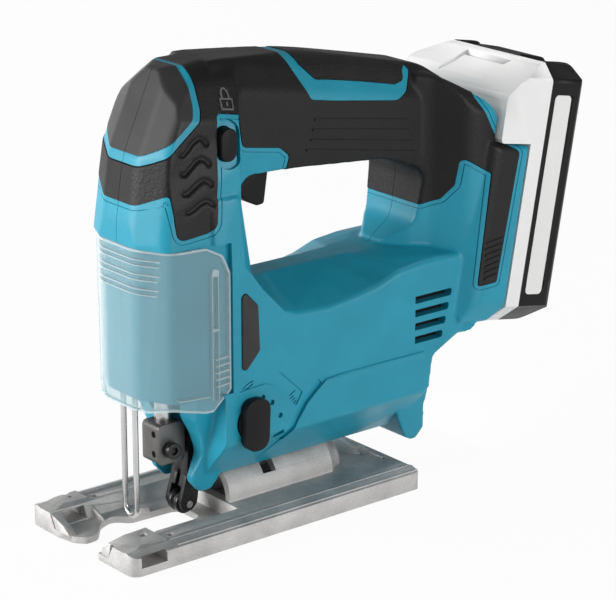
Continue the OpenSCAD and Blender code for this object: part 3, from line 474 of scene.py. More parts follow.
# ---- Finishing a piece ----
def piece(name, shape, material, body, *replaced, slot, sharp=38):
    """A visible piece on its body, in place of the nodes it replaces."""
    mesh = shape.mesh.copy()
    mesh.transform(Matrix.Scale(MM, 4) @ Matrix.Translation((FRONT_EDGE, 0, 0)))
    mesh.name = name
    mesh.materials.clear()
    mesh.materials.append(material)
    mesh.shade_smooth()
    mesh.set_sharp_from_angle(angle=math.radians(sharp))
    made = bpy.data.objects.new(name, mesh)
    scene.collection.objects.link(made)
    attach(made, body)
    if replaced:
        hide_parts(*replaced)


def in_both_halves(name, shape, material, replaced, slot):
    """One piece in the left half of the housing and one in the right half."""
    for flank, half in (("left", left_half), ("right", right_half)):
        nodes = [replaced + "_" + flank] if replaced else []
        piece(name + "_" + flank, half(shape), material, "tool", *nodes, slot=slot)


def from_node(node):
    """A node's own shape, merged into a clean solid in millimetres."""
    bm = bmesh.new()
    bm.from_mesh(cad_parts[node].data)
    bmesh.ops.remove_doubles(bm, verts=bm.verts, dist=1e-6)
    bmesh.ops.dissolve_limit(bm, angle_limit=math.radians(1), verts=bm.verts, edges=bm.edges)
    return solid(bm).moved(Matrix.Translation((-FRONT_EDGE, 0, 0)) @ Matrix.Scale(1 / MM, 4))


# ---- Housing form ----
TOP_SIDE = [(21.6, 120), (22.1, 146, 30), (25.8, 166.5, 60), (28.6, 181, 40), (32, 193.5, 12),
            (37, 200.8, 8), (46, 203.2, 20), (64, 204.3, 60), (112, 200.6, 120), (177, 186.2, 20),
            (199, 171.2, 8), (206, 160, 4), (206, 132), (176, 132), (100, 142), (74, 120)]
HEAD_PLAN = [(21.5, 11.8, 16), (29.5, 29.2, 9), (46, 30.1, 30), (62, 30.2, 5), (65, 28.6, 6),
             (75, 11, 4)]
COVER_PLAN = [(21.5, 12, 16), (30, 27.5, 9), (46, 29.8, 30), (62, 30.4, 4), (72.5, 23, 8),
              (75, 12, 8)]
HEAD_LEANS = [
    (20.5, 131, 9, [(0, 10, 12), (7.5, 27.6, 10), (34, 31, 12), (130, 31)]),
    (25.2, 165, 24, [(0, 10.3, 10), (5.2, 26.5, 10), (52, 28.6, 14), (130, 29.3)]),
    (29.7, 191.2, 36, [(0, 8.1, 8), (10.2, 25.2, 10), (38, 27.3, 14), (130, 31)]),
    (38.5, 201.5, 58, [(0, 2, 3), (11.8, 22.6, 10), (31, 24.2, 14), (60, 30.5, 30), (130, 31)])]


def head_form():
    shape = side(TOP_SIDE) & plan(both_sides(HEAD_PLAN), 118, 210)
    section = across([(31, 100), (31, 139, 60), (29.3, 169.6, 25), (13.5, 204.6, 16)])
    shape = shape & front(section, 15, 90)
    for x, z, lean, flank in HEAD_LEANS:
        shape = shape & plan(both_sides(flank), -60, 90).placed((x, 0, z), lean)
    return shape


def handle_form():
    section = across([(15.1, -31, 6), (18.1, -14, 14), (18.1, 12, 12), (10.5, 28.4, 12)])
    return side(TOP_SIDE) & front(section, -8, 150).placed((64, 0, 180), 10)


def rear_form():
    shape = side([(140, 92), (140, 128), (165, 140), (170, 184.6), (177, 183.6, 14),
                  (199, 170.2, 8), (206, 160, 4), (203, 130), (200, 80), (192, 66, 4), (176, 62),
                  (160, 80)])
    shape = shape & front(across([(42, 60), (42, 150), (24, 184, 22)]), 130, 210)
    return shape & plan(both_sides([(159, 7, 6), (168, 15.5, 8), (177, 20.5, 14), (190, 33.5, 14),
                                    (240, 33.5)]), 40, 210)


def foot_form():
    """The foot that holds the slideway, drawn upright from the lower end of its rear face."""
    top_view = both_sides([(-32, 24, 8), (-19, FOOT_HALF, 8), (0, FOOT_HALF, 1.5)])
    rear_view = across([(32.5, -9, 6), (FOOT_HALF, 3, 5), (FOOT_HALF, FOOT_LEN, 3)])
    side_view = [(0, 0), (-6, -7), (-22, -9), (-30, 10), (-24, FOOT_LEN), (0, FOOT_LEN)]
    shape = plan(top_view, -12, FOOT_LEN) & front(rear_view, -40, 1) & side(side_view)
    return shape.leaned()


SHOULDER_LINE = [(54, 110), (74, 107), (80, 100.5), (85.5, 97), (93.6, 93.8), (110, 92.8),
                 (124, 94.5), (138, 97.4), (150, 101.4), (164, 102.8), (200, 102.8)]


def body_form():
    """The motor's trunk, whose shoulder follows a crease, with the ears over the sole's rear."""
    stations = []
    for x, crease in SHOULDER_LINE:
        top = max(100, crease + 3)
        section = rounded(across([(12.5, 22.2, 0.8), (31, 42.6, 6), (31, crease, 3), (18, top),
                                  (4.5, 106.6, 3)]))
        stations.append([(x, p.x, p.y) for p in section])
    trunk = union([hull(a, b) for a, b in zip(stations, stations[1:])]) & side([
        (54, 20), (54, 140), (83, 116), (196, 112), (200, 70, 3), (184, 65, 8), (170, 58, 4),
        (167, 36, 2), (156.5, 30), (148, 26, 6), (138, 26, 3), (134, 20, 2)])
    ears = side([(157.2, 60), (157.2, 29, 2), (163, 17.4, 3), (169, 14.2, 4), (173.8, 20, 3),
                 (173, 31, 3), (174, 37, 4), (170.5, 60)])
    ears = ears & front(across([(20, 10), (22.5, 34, 20), (29.5, 60)]), 150, 180)
    return trunk | ears


def nose_form():
    section = across([(12, 16, 2), (14.6, 17.4, 2), (15.8, 28, 8), (18.5, 38, 12), (26, 67)])
    profile = [(45, 67), (44, 54, 6), (48.8, 45, 8), (51.8, 36, 8), (46.8, 23.8, 4),
               (52.5, 17.3, 3), (58.5, 17.3, 4), (69, 34, 6), (69, 67)]
    return front(section, 40, 72) & side(profile)


def column_form():
    low = rounded(both_sides([(50, 31), (65, 31, 5), (72.5, 25, 6), (76, 12)]))
    high = rounded(both_sides([(50, 28), (62, 29.6, 5), (64.5, 28.6, 6), (75, 11)]))
    post = hull([(p.x, p.y, 98) for p in low], [(p.x, p.y, 118) for p in low],
                [(p.x, p.y, 150) for p in high])
    shoulder = side([(50, 66), (50, 121), (65, 121, 10), (74, 109, 12), (85.5, 97, 10),
                     (94, 92.5), (94, 66)], -31, 31)
    return post | shoulder


def rail_space():
    """The slideway that takes the pack's rails, wide inside and narrow at the mouth."""
    wide, mouth = block(-14.4, -3.4, -29.4, 29.4, 2, 140), block(-14.4, 5, -24.4, 24.4, 2, 140)
    return (wide | mouth).leaned()


FINGER_OPENING = [(75, 154, 6), (75, 122, 40), (84, 106, 8), (156, 106, 12), (170.5, 116, 10),
                  (174.5, 141, 7), (152, 149, 30), (106, 152.9, 4)]


def housing_form():
    """The whole outside of the housing, with the core that stands behind the clear cover."""
    whole = union([head_form(), handle_form(), rear_form(), foot_form(), body_form(), nose_form(),
                   column_form()])
    whole = (whole - side(FINGER_OPENING)).softened(voxel=0.75, passes=6).thinned(share=0.5)
    cover_space = block(0, 58.2, -50, 50, 66, 131.6)
    core = [(23.6, 10.5, 14), (31.6, 25.6, 8), (46, 27.7, 30), (60, 28.2)]
    above_foot = block(-19, 40, -60, 60, FOOT_LEN, 130).leaned()
    behind_foot = block(0, 40, -60, 60, -20, 140).leaned()
    whole = (whole - cover_space) | plan(both_sides(core), 65, 132)
    return whole - rail_space() - above_foot - behind_foot


# ---- Inside spaces, as the mechanism needs them ----
def inside_spaces():
    bay = rod("x", 80, 171, 25, 0, MOTOR_Z)
    bay = bay | rod("x", 171, 176.1, 8.1, 0, MOTOR_Z) | rod("x", 171, 180, 3.5, 0, MOTOR_Z)
    handle = side([(62, 158), (62, 196), (110, 191, 10), (172, 177, 4), (182, 168), (176, 154),
                   (150, 154.6), (106, 160)], -12.5, 12.5)
    head, switch = block(38, 64, -16, 16, 128, 186), block(84, 126, -12.5, 12.5, 163, 181)
    spaces = bay | (handle | head | switch)
    for x, z, _ in SCREWS:
        spaces = spaces - rod("y", -20, 20, 3.8, x, z)
    gear_case = [block(34, 80, -23, 23, 64, 104), block(34, 71.5, -20.5, 20.5, 103, 128)]
    trigger = [block(81.1, 97.3, -5.9, 5.9, 140, 164)]
    clamp_path = [block(20, 63, -11.5, 11.5, 5, 59.5), block(20, 56, -15, 15, 59, 64.5)]
    roller_holder = [block(58, 76, -8, 8, 43, 59.5), rod("y", -14.2, 14.2, 2.1, *HOLDER_PIN_AT)]
    lever = [rod("y", -36, -28.5, 8.2, *LEVER_AT), rod("y", -31, 10, 3.1, *LEVER_AT)]
    saddle = [rod("x", 65, 138, 17.2, 0, SOLE_TOP), block(71, 112, -11.3, 11.3, 20, 34)]
    lower_bush = [rod("z", 59, 66, 8.6, 44, 0)]
    terminals = [block(-23.7, -14.4, -13.1, 13.1, 17.9, 62.1).leaned()]
    guard_wire = [rod("z", 60, 71.5, 1.35, 26.3, 4.2), rod("z", 60, 71.5, 1.35, 26.3, -4.2)]
    return union([spaces] + gear_case + trigger + clamp_path + roller_holder + lever + saddle
                 + lower_bush + terminals + guard_wire)


def screw_spaces():
    return union([rod("y", -11, REACH, 1.7, x, z) | rod("y", seat, REACH, 3.2, x, z)
                  for x, z, seat in SCREWS])


def oblong(x, z, radius, rise):
    """A slot with round ends, rise above and below its middle."""
    bend = radius - 0.01
    low, high = z - rise - radius, z + rise + radius
    return side([(x - radius, low, bend), (x + radius, low, bend),
                 (x + radius, high, bend), (x - radius, high, bend)], steps=12)


# ---- Rubber zones, drawn from the side ----
GRIP_ZONE = [(53, 215), (50.2, 203, 6), (49.7, 187, 5), (48, 182.6, 4), (36.2, 173.6, 20),
             (29, 167.2, 6), (25.2, 164.4, 2), (15, 164.2), (15, 148.6), (23.4, 149, 4),
             (31.2, 155.6, 1), (32.3, 143.5, 3), (33.3, 136.4, 3.5), (37, 135.9, 2),
             (48.7, 137, 4), (52, 139.8, 4), (54, 160, 20), (56.8, 185, 2), (71.4, 182.2, 3),
             (73.6, 167, 3), (93.5, 163.6, 4), (98.6, 159.4, 3), (97.3, 151.5, 2), (120, 140),
             (152, 132), (172, 124.5, 4), (179.5, 127, 3), (184, 133.5, 3), (185.6, 146.5, 2),
             (198.2, 138.4, 1.5), (190.6, 87.6, 1), (201.3, 87.7, 1), (213.7, 146, 2),
             (203.5, 152, 1), (192, 173, 4), (200, 215)]
BEAK_ZONE = [(10, 168), (26, 168.5, 3), (30.3, 172, 6), (36.9, 178, 14), (45, 184.3, 5),
             (46.5, 189, 4), (46.9, 197, 12), (49.2, 215), (10, 215)]
INLAY = [(100.5, 205), (100.5, 201.5), (103.5, 194.5, 4), (110.5, 181.6, 3), (121.3, 179.6, 20),
         (158.8, 174, 8), (164.3, 177, 4), (169.2, 185.2, 1), (167.6, 187.5, 0.8), (165, 185.4, 1),
         (164.3, 181.5, 2.5), (158.7, 180.6, 4), (140.3, 184.6, 20), (122.4, 188, 20),
         (114.5, 189.2, 4), (108, 196, 4), (104.5, 205)]
PALM_ZONE = [(104.8, 215), (104.9, 205), (108, 196.3, 4), (114.7, 189.5, 4), (122.4, 188.2, 20),
             (140.3, 184.8, 20), (158.7, 180.8, 4), (164.1, 181.8, 2.5), (164.8, 185.7, 1),
             (167.6, 187.8), (166, 215)]
WAVES = [
    [(37.2, 171.2), (39, 170.2), (41.5, 172.3), (44.2, 174.8), (47.5, 176.5), (50, 174.8),
     (51.2, 172.5)],
    [(37, 163.4), (39, 162.4), (41.5, 164.4), (44.3, 166.8), (47.5, 168.2), (50.2, 166.4),
     (51.2, 164.2)],
    [(37, 155.4), (39, 154.6), (41.8, 156.2), (44.9, 158.2), (47.8, 159.4), (50.4, 157.8),
     (51.2, 156)],
    [(37.4, 147.6), (39.4, 147), (42, 148.2), (44.9, 149.8), (47.8, 150.8), (50.4, 149.4),
     (51, 147.6)]]
PADLOCK = [
    [(60, 186.2), (60.3, 190.2), (66, 189.3), (65.4, 185.4), (59.7, 186.3)],
    [(62.9, 187), (63.2, 188.6)],
    [(61.4, 190.2), (61.4, 192.4), (62.2, 193.8), (63.4, 193.9), (64.5, 192.6), (64.7, 189.6)]]
HANDLE_RIDGES = [
    [(112, 172.8), (165.3, 164.3)],
    [(110.9, 168.5), (165.4, 159.7)],
    [(109.8, 164.2), (167.7, 154.2)],
    [(107.6, 160.2), (167.9, 149.6)]]
# Short ribs up the rear of the foot, each a little longer than the one under it
FOOT_RIBS = [[(193.6 + 0.17 * k, 90.5 + 2.7 * k), (201.4 + 0.55 * k, 91.6 + 2.7 * k)]
             for k in range(7)]
PAD_ZONE = [(62.6, 76, 1), (64.4, 74, 1.5), (72, 82, 2), (71.2, 102, 2), (64.6, 109, 1.5),
            (62.6, 107, 1)]
LEVER_MARKS = [
    [(63.4, 66.4), (65, 67.6), (67.4, 68.6), (69, 68.6)],
    [(64.6, 66), (66.4, 66.3), (68.6, 67.6)],
    [(88.4, 57.6), (91.6, 59.4)],
    [(88.9, 56.2), (90.6, 57.2)],
    [(89.8, 55), (91.4, 56)],
    [(90.6, 53.8), (92.2, 54.8)]]
LEVER_DOTS = [(73.6, 60.4), (78.6, 57), (83, 50.2)]


def trench(zone, start, width):
    """A narrow ring that follows a zone's outline, start millimetres outside it."""
    path = rounded(zone, 6)
    return side(grown(path, start + width)) - side(grown(path, start), -50, 50)


def lower_band():
    """The raised strip low on both flanks, with a step half way down it."""
    strip = side([(87.4, 38), (92.4, 46.5, 2), (97.6, 53.4, 3), (107.6, 61, 3), (118, 61.6, 12),
                  (150, 61.4), (166.5, 61.2), (166.5, 15), (75, 15)])
    section = [(12.5, 22.4), (31.4, 42, 5), (32.2, 50), (32.2, 60.5), (31.5, 61.6)]
    strip = strip & front(across(section), 60, 164)
    step = side([(95.4, 36), (101.6, 46.5, 2), (108.6, 53.4, 4), (129.5, 55.4, 30), (170, 57.6),
                 (170, 15), (90, 15)])
    return strip - (step - block(0, 300, -31.5, 31.5, 0, 100))


def lever_marks():
    """The sunk panel of the lever's settings and the slope beside the band."""
    panel = side([(61.2, 65.4), (61.6, 69.4, 1), (82.8, 70, 2), (95.4, 58, 1), (91.6, 52.4, 1),
                  (79.4, 64.4, 4), (75, 66.2, 2)])
    slope = ribbon([(86.6, 37), (91, 46.4), (95.8, 53.4), (104.8, 61)], 2.8)
    return panel | side(slope)


def lever_sockets():
    """The deeper cuts: the settings' strokes and dots, and a short slot under them."""
    marks = [side(ribbon(line, 0.5)) for line in LEVER_MARKS]
    dots = [rod("y", -REACH, REACH, 1.25, x, z) for x, z in LEVER_DOTS]
    return union(marks + dots + [side(ribbon([(80.6, 40.4), (85.4, 42.4)], 2.2))])


# ---- Housing pieces ----
RUBBER_DEPTH = 1.7
RUBBER_PROUD = 0.3
RIDGE_PROUD = 0.8
FIT = 0.15  # a pocket is this much wider than its rubber on each side
PINCH = 0.12  # and the rubber this much narrower than its zone
VENT_HEIGHTS = (86, 79.8, 73.6, 67.4)


def build_housing():
    form = housing_form()
    spaces = inside_spaces()
    lock_hole = oblong(*LOCK_AT, 4.4, 3)
    deep = form.swollen(-RUBBER_DEPTH)
    build_shells(form, spaces, lock_hole, deep)
    build_rubber(form, spaces, lock_hole, deep)
    for name, low, high in (("left", -31.7, -29.3), ("right", 29.3, 31.7)):
        pad = side(PAD_ZONE, low, high).bevelled(0.5, 3)
        piece("side_pad_" + name + "_face", pad, PLAIN_RUBBER, "tool", "side_pad_" + name,
              slot="rubber")


def build_shells(form, spaces, lock_hole, deep):
    """The teal halves with pockets for the rubber, and black plugs in the vents that stand in for
    the shade inside them.
    """
    shell = form | lower_band()
    grip_pocket = side(grown(rounded(GRIP_ZONE), FIT)) - side(INLAY) - deep
    beak_pocket = side(grown(rounded(BEAK_ZONE), FIT)) - deep
    shell = shell - grip_pocket - beak_pocket
    head_corner = side([(0, 160), (52, 160), (52, 220), (0, 220)])
    shell = shell - ((trench(GRIP_ZONE, 1.7, 0.4) - head_corner) - form.swollen(-0.45))
    near = block(0, 300, -60, 0, 0, 230)  # the lever and its marks are on this side only
    for cut, depth in ((lever_marks(), 0.6), (lever_sockets(), 1.6)):
        shell = shell - ((cut & near) - form.swollen(-depth))
    well = oblong(60.5, 172, 6.3, 4) - form.swollen(-1.5)
    shell = shell - spaces - well - lock_hole - screw_spaces()
    vents = air_vents()
    walls = block(150, 190, -REACH, -18, 50, 100) | block(150, 190, 18, REACH, 50, 100)
    shell = shell - (vents & walls)
    # Painted shade: black plugs fill the vent slots a few millimetres in, so that the slots look
    # dark.
    for name, low, high in (("left", -26.5, -25.2), ("right", 25.2, 26.5)):
        piece("vent_screen_" + name, vents & block(150, 190, low, high, 50, 100), BLACK, "tool",
              slot="black_plastic")
    pads = side(grown(rounded(PAD_ZONE), FIT))
    flanks = block(50, 80, -REACH, -29.2, 60, 120) | block(50, 80, 29.2, REACH, 60, 120)
    in_both_halves("housing_shell", shell - (pads & flanks), TEAL, "housing",
                   slot="housing_plastic")


def air_vents():
    """The slots beside the motor's fan, each a little shorter than the one above it."""
    slots = []
    for i, z in enumerate(VENT_HEIGHTS):
        end, low, high = 180 - 1.7 * i, z - 1.7, z + 1.7
        slots.append(side([(159, low, 0.5), (end, low, 1.2), (end + 0.8, high, 1.2),
                           (159, high, 0.5)]))
    return union(slots)


def build_rubber(form, spaces, lock_hole, deep):
    """The overmould: grained grip, dimpled palm zone, smooth beak and the padlock sign."""
    grip_path, beak_path = rounded(GRIP_ZONE), rounded(BEAK_ZONE)
    proud = form.swollen(RUBBER_PROUD)
    raised = form.swollen(RIDGE_PROUD)
    waves = union([side(ribbon(line, 2.2)) for line in WAVES]) - form.swollen(-0.8)
    skin = (proud & side(grown(grip_path, 3))) - form.swollen(-3)
    skin = (skin - waves).softened(voxel=0.6, passes=3).thinned(share=0.5)
    grip = (skin & side(grown(grip_path, -PINCH))) - side(grown(rounded(INLAY), PINCH)) - deep
    grip = grip - spaces - lock_hole - screw_spaces()
    ridges = union([side(ribbon(line, 0.9)) for line in HANDLE_RIDGES + FOOT_RIBS])
    grip = grip | ((ridges & raised) - deep)
    padlock = (union([side(ribbon(line, 0.8)) for line in PADLOCK]) & raised) - form.swollen(0.2)
    in_both_halves("lock_mark", padlock, MARK_RUBBER, None, slot="rubber")
    palm = grip & side(grown(rounded(PALM_ZONE), -0.1))
    grip = grip - side(rounded(PALM_ZONE))
    in_both_halves("palm_rubber", palm, DIMPLED_RUBBER, "grip", slot="rubber")
    in_both_halves("grip_rubber", grip, GRIP_RUBBER, "grip", slot="rubber")
    beak = ((proud & side(grown(beak_path, -PINCH))) - deep) - spaces - screw_spaces()
    in_both_halves("beak_rubber", beak, PLAIN_RUBBER, "nose_grip", slot="rubber")


# ---- Cover, sole and pack ----
COVER_INNER = [(23.1, 10.9, 14.4), (31.2, 26, 7.4), (46, 28.2, 30), (62, 28.8, 4), (72.5, 21.4, 8),
               (75, 10.4, 8)]
COVER_SIDE = [(10, COVER_LOW + 1.6), (24, COVER_LOW + 1.2, 4), (30, 62.8, 6), (45, COVER_LOW, 1.5),
              (48.4, COVER_LOW, 1), (57.6, 67.5, 2), (57.6, 119, 5), (54, 127, 4),
              (46, COVER_TOP, 3), (10, COVER_TOP)]
COVER_NOTCH = [(10.5, 50), (11, 60), (21, 74), (36, 74), (36, 50)]


def cover_lines(outline):
    """What is thicker than the clear wall: the rim, the finger ribs and the steps."""
    lines = [side(outline) - side(grown(outline, -0.9), -50, 50)]
    for z in (126.8, 124.4, 120.6, 118.2, 114.4, 112):
        lines.append(block(15, 26.6 + (z % 1), -40, 40, z, z + 0.45))
    for i in range(5):
        lines.append(side(ribbon([(50, 70 + 3 * i), (58, 70.6 + 3 * i)], 0.6)))
    lines += [block(x, x + 0.32, -40, 40, 64, 119.5) for x in (48.4, 51.4)]
    lines.append(side([(48.4, 118.6), (51.8, 118.2), (52, 121, 1), (49, 121.8, 1)]))
    lines.append(block(48.7, 51.4, -40, 40, 94.6, 95.6))
    lines.append(side(ribbon([(32.6, 66.8), (47, 66.4)], 0.4)))
    return union(lines)


def build_cover():
    outer = plan(both_sides(COVER_PLAN), COVER_LOW, COVER_TOP, 14)
    shell = outer - plan(both_sides(COVER_INNER), COVER_LOW - 1, COVER_TOP + 1, 14)
    outline = rounded(COVER_SIDE)
    shell = shell.bevelled(0.3, 2) & side(outline)
    for flank in (1, -1):
        shell = shell - front([(flank * y, z) for y, z in COVER_NOTCH], 15, 23.6)
    lines = cover_lines(outline)
    rim = shell & lines
    piece("clear_cover", shell - lines, CLEAR, "cover", "dust_cover", slot="clear_plastic")
    piece("cover_rim_and_ribs", rim, CLEAR_RIB, "cover", "dust_cover", slot="clear_plastic")


def sloped_pad(y0, y1, hole_y):
    """A pad on the casting's front end with a sloped front and a hole for a guide."""
    low = [(2.2, y0, 8.4), (21.6, y0, 8.4), (21.6, y1, 8.4), (2.2, y1, 8.4)]
    high = [(8.4, y0 + 1.4, 10.6), (21, y0 + 0.7, 10.6), (21, y1 - 0.7, 10.6),
            (9.4, y1 - 1.4, 10.6)]
    return hull(low, high) - rod("z", 0, 20, 1.9, 15.4, hole_y)


def build_sole():
    """The casting with its end pads, front rims, fin, clip, beads and small holes."""
    sole = from_node("base_plate").bevelled(0.3, 3)
    far_rim = hull([(0.4, 24, 2.6), (5, 24, 2.6), (0.4, 9, 2.6), (4, 8, 2.6)],
                   [(0.6, 24.4, 9.2), (5, 24.4, 9.2), (0.6, 14, 6), (4, 13, 5.6)])
    near_rim = hull([(0.4, -20, 2.6), (4.4, -20, 2.6), (0.4, -14, 2.6), (4, -14, 2.6)],
                    [(1, -20.4, 8.8), (4.4, -20.4, 8.8), (1.2, -14, 5.6), (4, -14, 5.2)])
    fin = hull([(20.8, 28, 3), (21.9, 28, 3), (20.8, 13, 2.8), (21.9, 13, 2.8)],
               [(20.8, 28, 9.2), (21.9, 28, 9.2), (20.8, 14, 4.4), (21.9, 14, 4.4)])
    clip = hull([(36.4, 8.6, 2.4), (43.4, 9.6, 2.4), (43.4, 13.6, 2.4), (36.4, 13, 2.4)],
                [(37, 9, 6.4), (42.6, 10, 5.4), (42.6, 13, 5.4), (37, 12.4, 6.4)])
    beads = [rod("x", 23, 154, 0.55, -32.6, 9.55, 16), rod("x", 24, 156, 0.5, -36.9, 8.55, 16),
             rod("x", 23, 154, 0.55, 32.6, 9.55, 16)]
    added = [sloped_pad(-33.2, -17, -23.3), sloped_pad(24.6, 35.6, 35.5), far_rim, near_rim, fin,
             clip]
    whole = union([sole] + [part.bevelled(0.5, 2) for part in added] + beads)
    for x, y in ((15.4, -23.3), (26.4, -27.2), (15.3, 30.5), (25.8, 27.6), (147, -8), (152, -18)):
        whole = whole - rod("z", 4, 12, 1.05, x, y, 24)
    piece("sole_casting", whole, CAST, "base", "base_plate", slot="cast_aluminium")


# The pack is drawn upright, x back from the foot's rear face and z up from its lower end
PACK_HALF = 37.2
SHELL_BACK = 29.9
PACK_LOW = -8.8


def pack_outside():
    """The pack seen from behind: straight flanks and a lower end with sloped corners."""
    return front([(-37.4, 140), (-37.4, 0.6), (-25.6, PACK_LOW), (25.6, PACK_LOW), (37.4, 0.6),
                  (37.4, 140)], -40, 60).leaned()


def build_white_case():
    low_end = block(0.4, 8.4, -PACK_HALF, PACK_HALF, PACK_LOW, 2).leaned()
    white = (from_node("battery_rail_case") | low_end) & pack_outside()
    piece("pack_white_case", white.bevelled(0.6, 3), WHITE, "battery", "battery_rail_case",
          slot="pale_plastic", sharp=25)


def build_black_shell():
    """The pack's black end, with its label strip lying in a shallow pocket."""
    foot = side([(8.4, PACK_LOW), (22, PACK_LOW, 6), (SHELL_BACK, 1, 3), (SHELL_BACK, 12),
                 (8.4, 12)], -PACK_HALF, PACK_HALF) - block(8, 28, -35, 35, 2.4, 20)
    backing = block(12, 27, -37.1, -34, 5, 100).leaned()
    shell = from_node("battery_shell") | backing | foot.leaned()
    corners = both_sides([(7, PACK_HALF), (SHELL_BACK, PACK_HALF, 5)])
    shell = shell & pack_outside() & plan(corners, -10, 150).leaned()
    pocket = side([(11.3, 5.6, 2.4), (21.9, 5.6, 2.4), (21.9, 97.6, 2.4), (11.3, 97.6, 2.4)],
                  -40, -36.7).leaned()
    strip = side([(11.5, 5.8, 2.2), (21.7, 5.8, 2.2), (21.7, 97.4, 2.2), (11.5, 97.4, 2.2)],
                 -37.15, -36.7)
    notches = block(7, 40, -29, -14, 109.4, 120) | block(7, 40, 14, 29, 109.4, 120)
    piece("pack_black_shell", shell.bevelled(0.8, 3) - pocket - notches.leaned(), BLACK,
          "battery", "battery_shell", slot="black_plastic")
    piece("pack_label", strip.bevelled(0.1, 1).leaned(), LABEL, "battery", "battery_label",
          slot="pale_plastic")


# ---- Small pieces that keep their node's shape, with softened edges ----
SOFT_EDGED = (
    ("trigger", "trigger_key_face", BLACK, "trigger_key", "black_plastic", 0.6),
    ("lock_off_button", "lock_button_face", BLACK, "lock_button", "black_plastic", 0.5),
    ("orbital_lever", "lever_knob", BLACK, "lever", "black_plastic", 0.8),
    ("clamp_screw", "clamp_key_screw", BLACKENED, "reciprocator", "dark_steel", 0.25),
    ("roller_holder", "roller_arm", BLACKENED, "holder", "dark_steel", 0.4),
    ("guide_roller", "grooved_roller", BLACKENED, "blade_roller", "dark_steel", 0.2),
    ("latch_button", "latch_panel", WHITE, "latch", "pale_plastic", 0.4))


def build_small_pieces():
    narrowed = plan([(30, -7.2), (70, -7.2), (70, 4.6), (30, 4.6)], 20, 60)
    clamp = (from_node("blade_clamp") & narrowed).bevelled(1.1, 4)
    piece("clamp_block", clamp, DULL_STEEL, "reciprocator", "blade_clamp", slot="steel")
    for node, name, material, body, slot, width in SOFT_EDGED:
        piece(name, from_node(node).bevelled(width, 3), material, body, node, slot=slot)


# ---- Nodes kept from the frame ----
KEPT_NODES = {
    STEEL: ["plunger", "gear_axle", "crank_roller", "motor_shaft", "pinion", "gear_bearing",
            "front_bearing", "rear_bearing", "holder_pin", "roller_pin", "guard_wire",
            "bevel_plate", "orbital_cam", "trigger_spring", "latch_spring", "housing_screws"],
    SINTERED: ["drive_gear", "motor_can", "armature", "magnets"],
    CAST: ["gear_case", "base_cradle"],
    BRASS: ["lower_bush", "upper_bush", "battery_terminals"],
    COPPER: ["commutator"],
    BLACKENED: ["bevel_bolt", "brushes"],
    BLACK: ["switch_body", "switch_plunger", "terminal_block", "end_bell", "fan",
            "cell_holder"],
    BOARD: ["battery_board"],
    WRAP: ["battery_cells"],
}


def finish_kept_nodes():
    for material, names in KEPT_NODES.items():
        for name in names:
            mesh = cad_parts[name].data
            mesh.materials.clear()
            mesh.materials.append(material)


# ---- Floor, light and camera ----
FLOOR_SIZE = 3.0
FLOOR_GREY = 0.8
FLOOR_GLOW = 0.955  # how much of the floor's look is its own white, the rest takes shadows
SKY_GREY = 0.28
CAMERA_AT = (-0.63080, -0.83535, 0.43777)
CAMERA_TURN, CAMERA_TILT = 38.983, 18.139
FOCAL_LENGTH, SENSOR_WIDTH = 150, 36
# Each lamp's place, the point it faces, its size, its power and its spread
LAMPS = {
    "front_softbox": ((-1.15, 0.5, 0.42), (0, 0, 0.1), (0.9, 0.7), 22.5, 180),
    "near_softbox": ((0.25, -1.35, 0.35), (0.05, 0, 0.1), (1.1, 0.6), 11, 180),
    "far_softbox": ((0.1, 1.4, 0.4), (0.05, 0, 0.1), (1.1, 0.6), 5, 180),
    "pack_softbox": ((0.42, -0.1, 0.8), (0.175, 0, 0.17), (0.06, 0.06), 0.02, 12),
}


def math_node(tree, operation, first, second):
    """The result of an operation on two sockets, or on a socket and a number."""
    node = tree.nodes.new("ShaderNodeMath")
    node.operation = operation
    tree.links.new(first, node.inputs[0])
    if isinstance(second, float):
        node.inputs[1].default_value = second
    else:
        tree.links.new(second, node.inputs[1])
    return node.outputs[0]


def seen_directly(tree, path):
    """1 on the camera's rays, also through clear pieces."""
    rays = path.outputs["Is Camera Ray"], path.outputs["Is Transmission Ray"]
    return math_node(tree, "MAXIMUM", *rays)


def mixed(tree, share, first, second, output):
    """Send the output its surface: the first shader with a share of the second."""
    mix = tree.nodes.new("ShaderNodeMixShader")
    for socket, value in zip(mix.inputs, (share, first, second)):
        tree.links.new(value, socket)
    tree.links.new(mix.outputs[0], tree.nodes[output].inputs["Surface"])


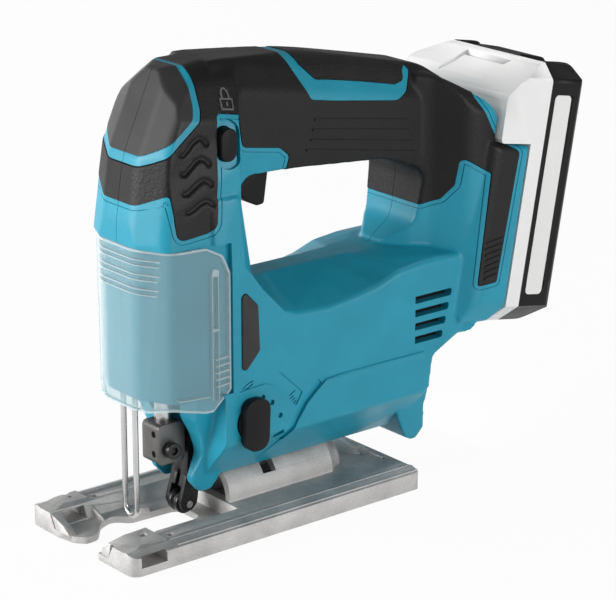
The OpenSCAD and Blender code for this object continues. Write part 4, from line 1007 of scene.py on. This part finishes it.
def add_floor():
    bm = bmesh.new()
    bmesh.ops.create_grid(bm, x_segments=1, y_segments=1, size=FLOOR_SIZE)
    mesh = bpy.data.meshes.new("floor")
    bm.to_mesh(mesh)
    bm.free()
    floor = bpy.data.objects.new("floor", mesh)
    scene.collection.objects.link(floor)
    paint = bpy.data.materials.new("white_floor")
    paint.use_nodes = True
    tree = paint.node_tree
    shader = tree.nodes["Principled BSDF"]
    shader.inputs["Base Color"].default_value = grey(FLOOR_GREY)
    shader.inputs["Roughness"].default_value = 0.9
    glow = tree.nodes.new("ShaderNodeEmission")
    glow.inputs["Color"].default_value = grey(1)
    path = tree.nodes.new("ShaderNodeLightPath")
    seen = math_node(tree, "MAXIMUM", seen_directly(tree, path), path.outputs["Is Glossy Ray"])
    share = math_node(tree, "MULTIPLY", seen, FLOOR_GLOW)
    mixed(tree, share, shader.outputs[0], glow.outputs[0], "Material Output")
    mesh.materials.append(paint)


def add_lamp(name, at, aim, size, power, spread):
    light = bpy.data.lights.new(name, "AREA")
    light.shape = "RECTANGLE"
    light.size, light.size_y = size
    light.energy = power
    light.spread = math.radians(spread)
    lamp = bpy.data.objects.new(name, light)
    lamp.location = at
    lamp.rotation_euler = (Vector(aim) - Vector(at)).to_track_quat("-Z", "Y").to_euler()
    scene.collection.objects.link(lamp)


def add_world():
    """A grey sky for the light, that the camera sees as white."""
    world = bpy.data.worlds.new("studio")
    world.use_nodes = True
    tree = world.node_tree
    sky = tree.nodes["Background"]
    sky.inputs["Color"].default_value = grey(SKY_GREY)
    white = tree.nodes.new("ShaderNodeBackground")
    white.inputs["Color"].default_value = grey(1)
    path = tree.nodes.new("ShaderNodeLightPath")
    mixed(tree, seen_directly(tree, path), sky.outputs[0], white.outputs[0], "World Output")
    scene.world = world


def add_camera():
    lens = bpy.data.cameras.new("camera")
    lens.lens, lens.sensor_width = FOCAL_LENGTH, SENSOR_WIDTH
    lens.clip_start, lens.clip_end = 0.05, 20
    camera = bpy.data.objects.new("camera", lens)
    camera.location = CAMERA_AT
    turn, tilt = math.radians(CAMERA_TURN), math.radians(CAMERA_TILT)
    facing = Vector((math.sin(turn) * math.cos(tilt), math.cos(turn) * math.cos(tilt),
                     -math.sin(tilt)))
    camera.rotation_euler = facing.to_track_quat("-Z", "Y").to_euler()
    scene.collection.objects.link(camera)
    scene.camera = camera


# ---- The scene ----
build_housing()
build_cover()
build_sole()
build_white_case()
build_black_shell()
build_small_pieces()
finish_kept_nodes()
add_floor()
add_world()
for lamp_name, settings in LAMPS.items():
    add_lamp(lamp_name, *settings)
add_camera()
scene.view_settings.view_transform = "Standard"
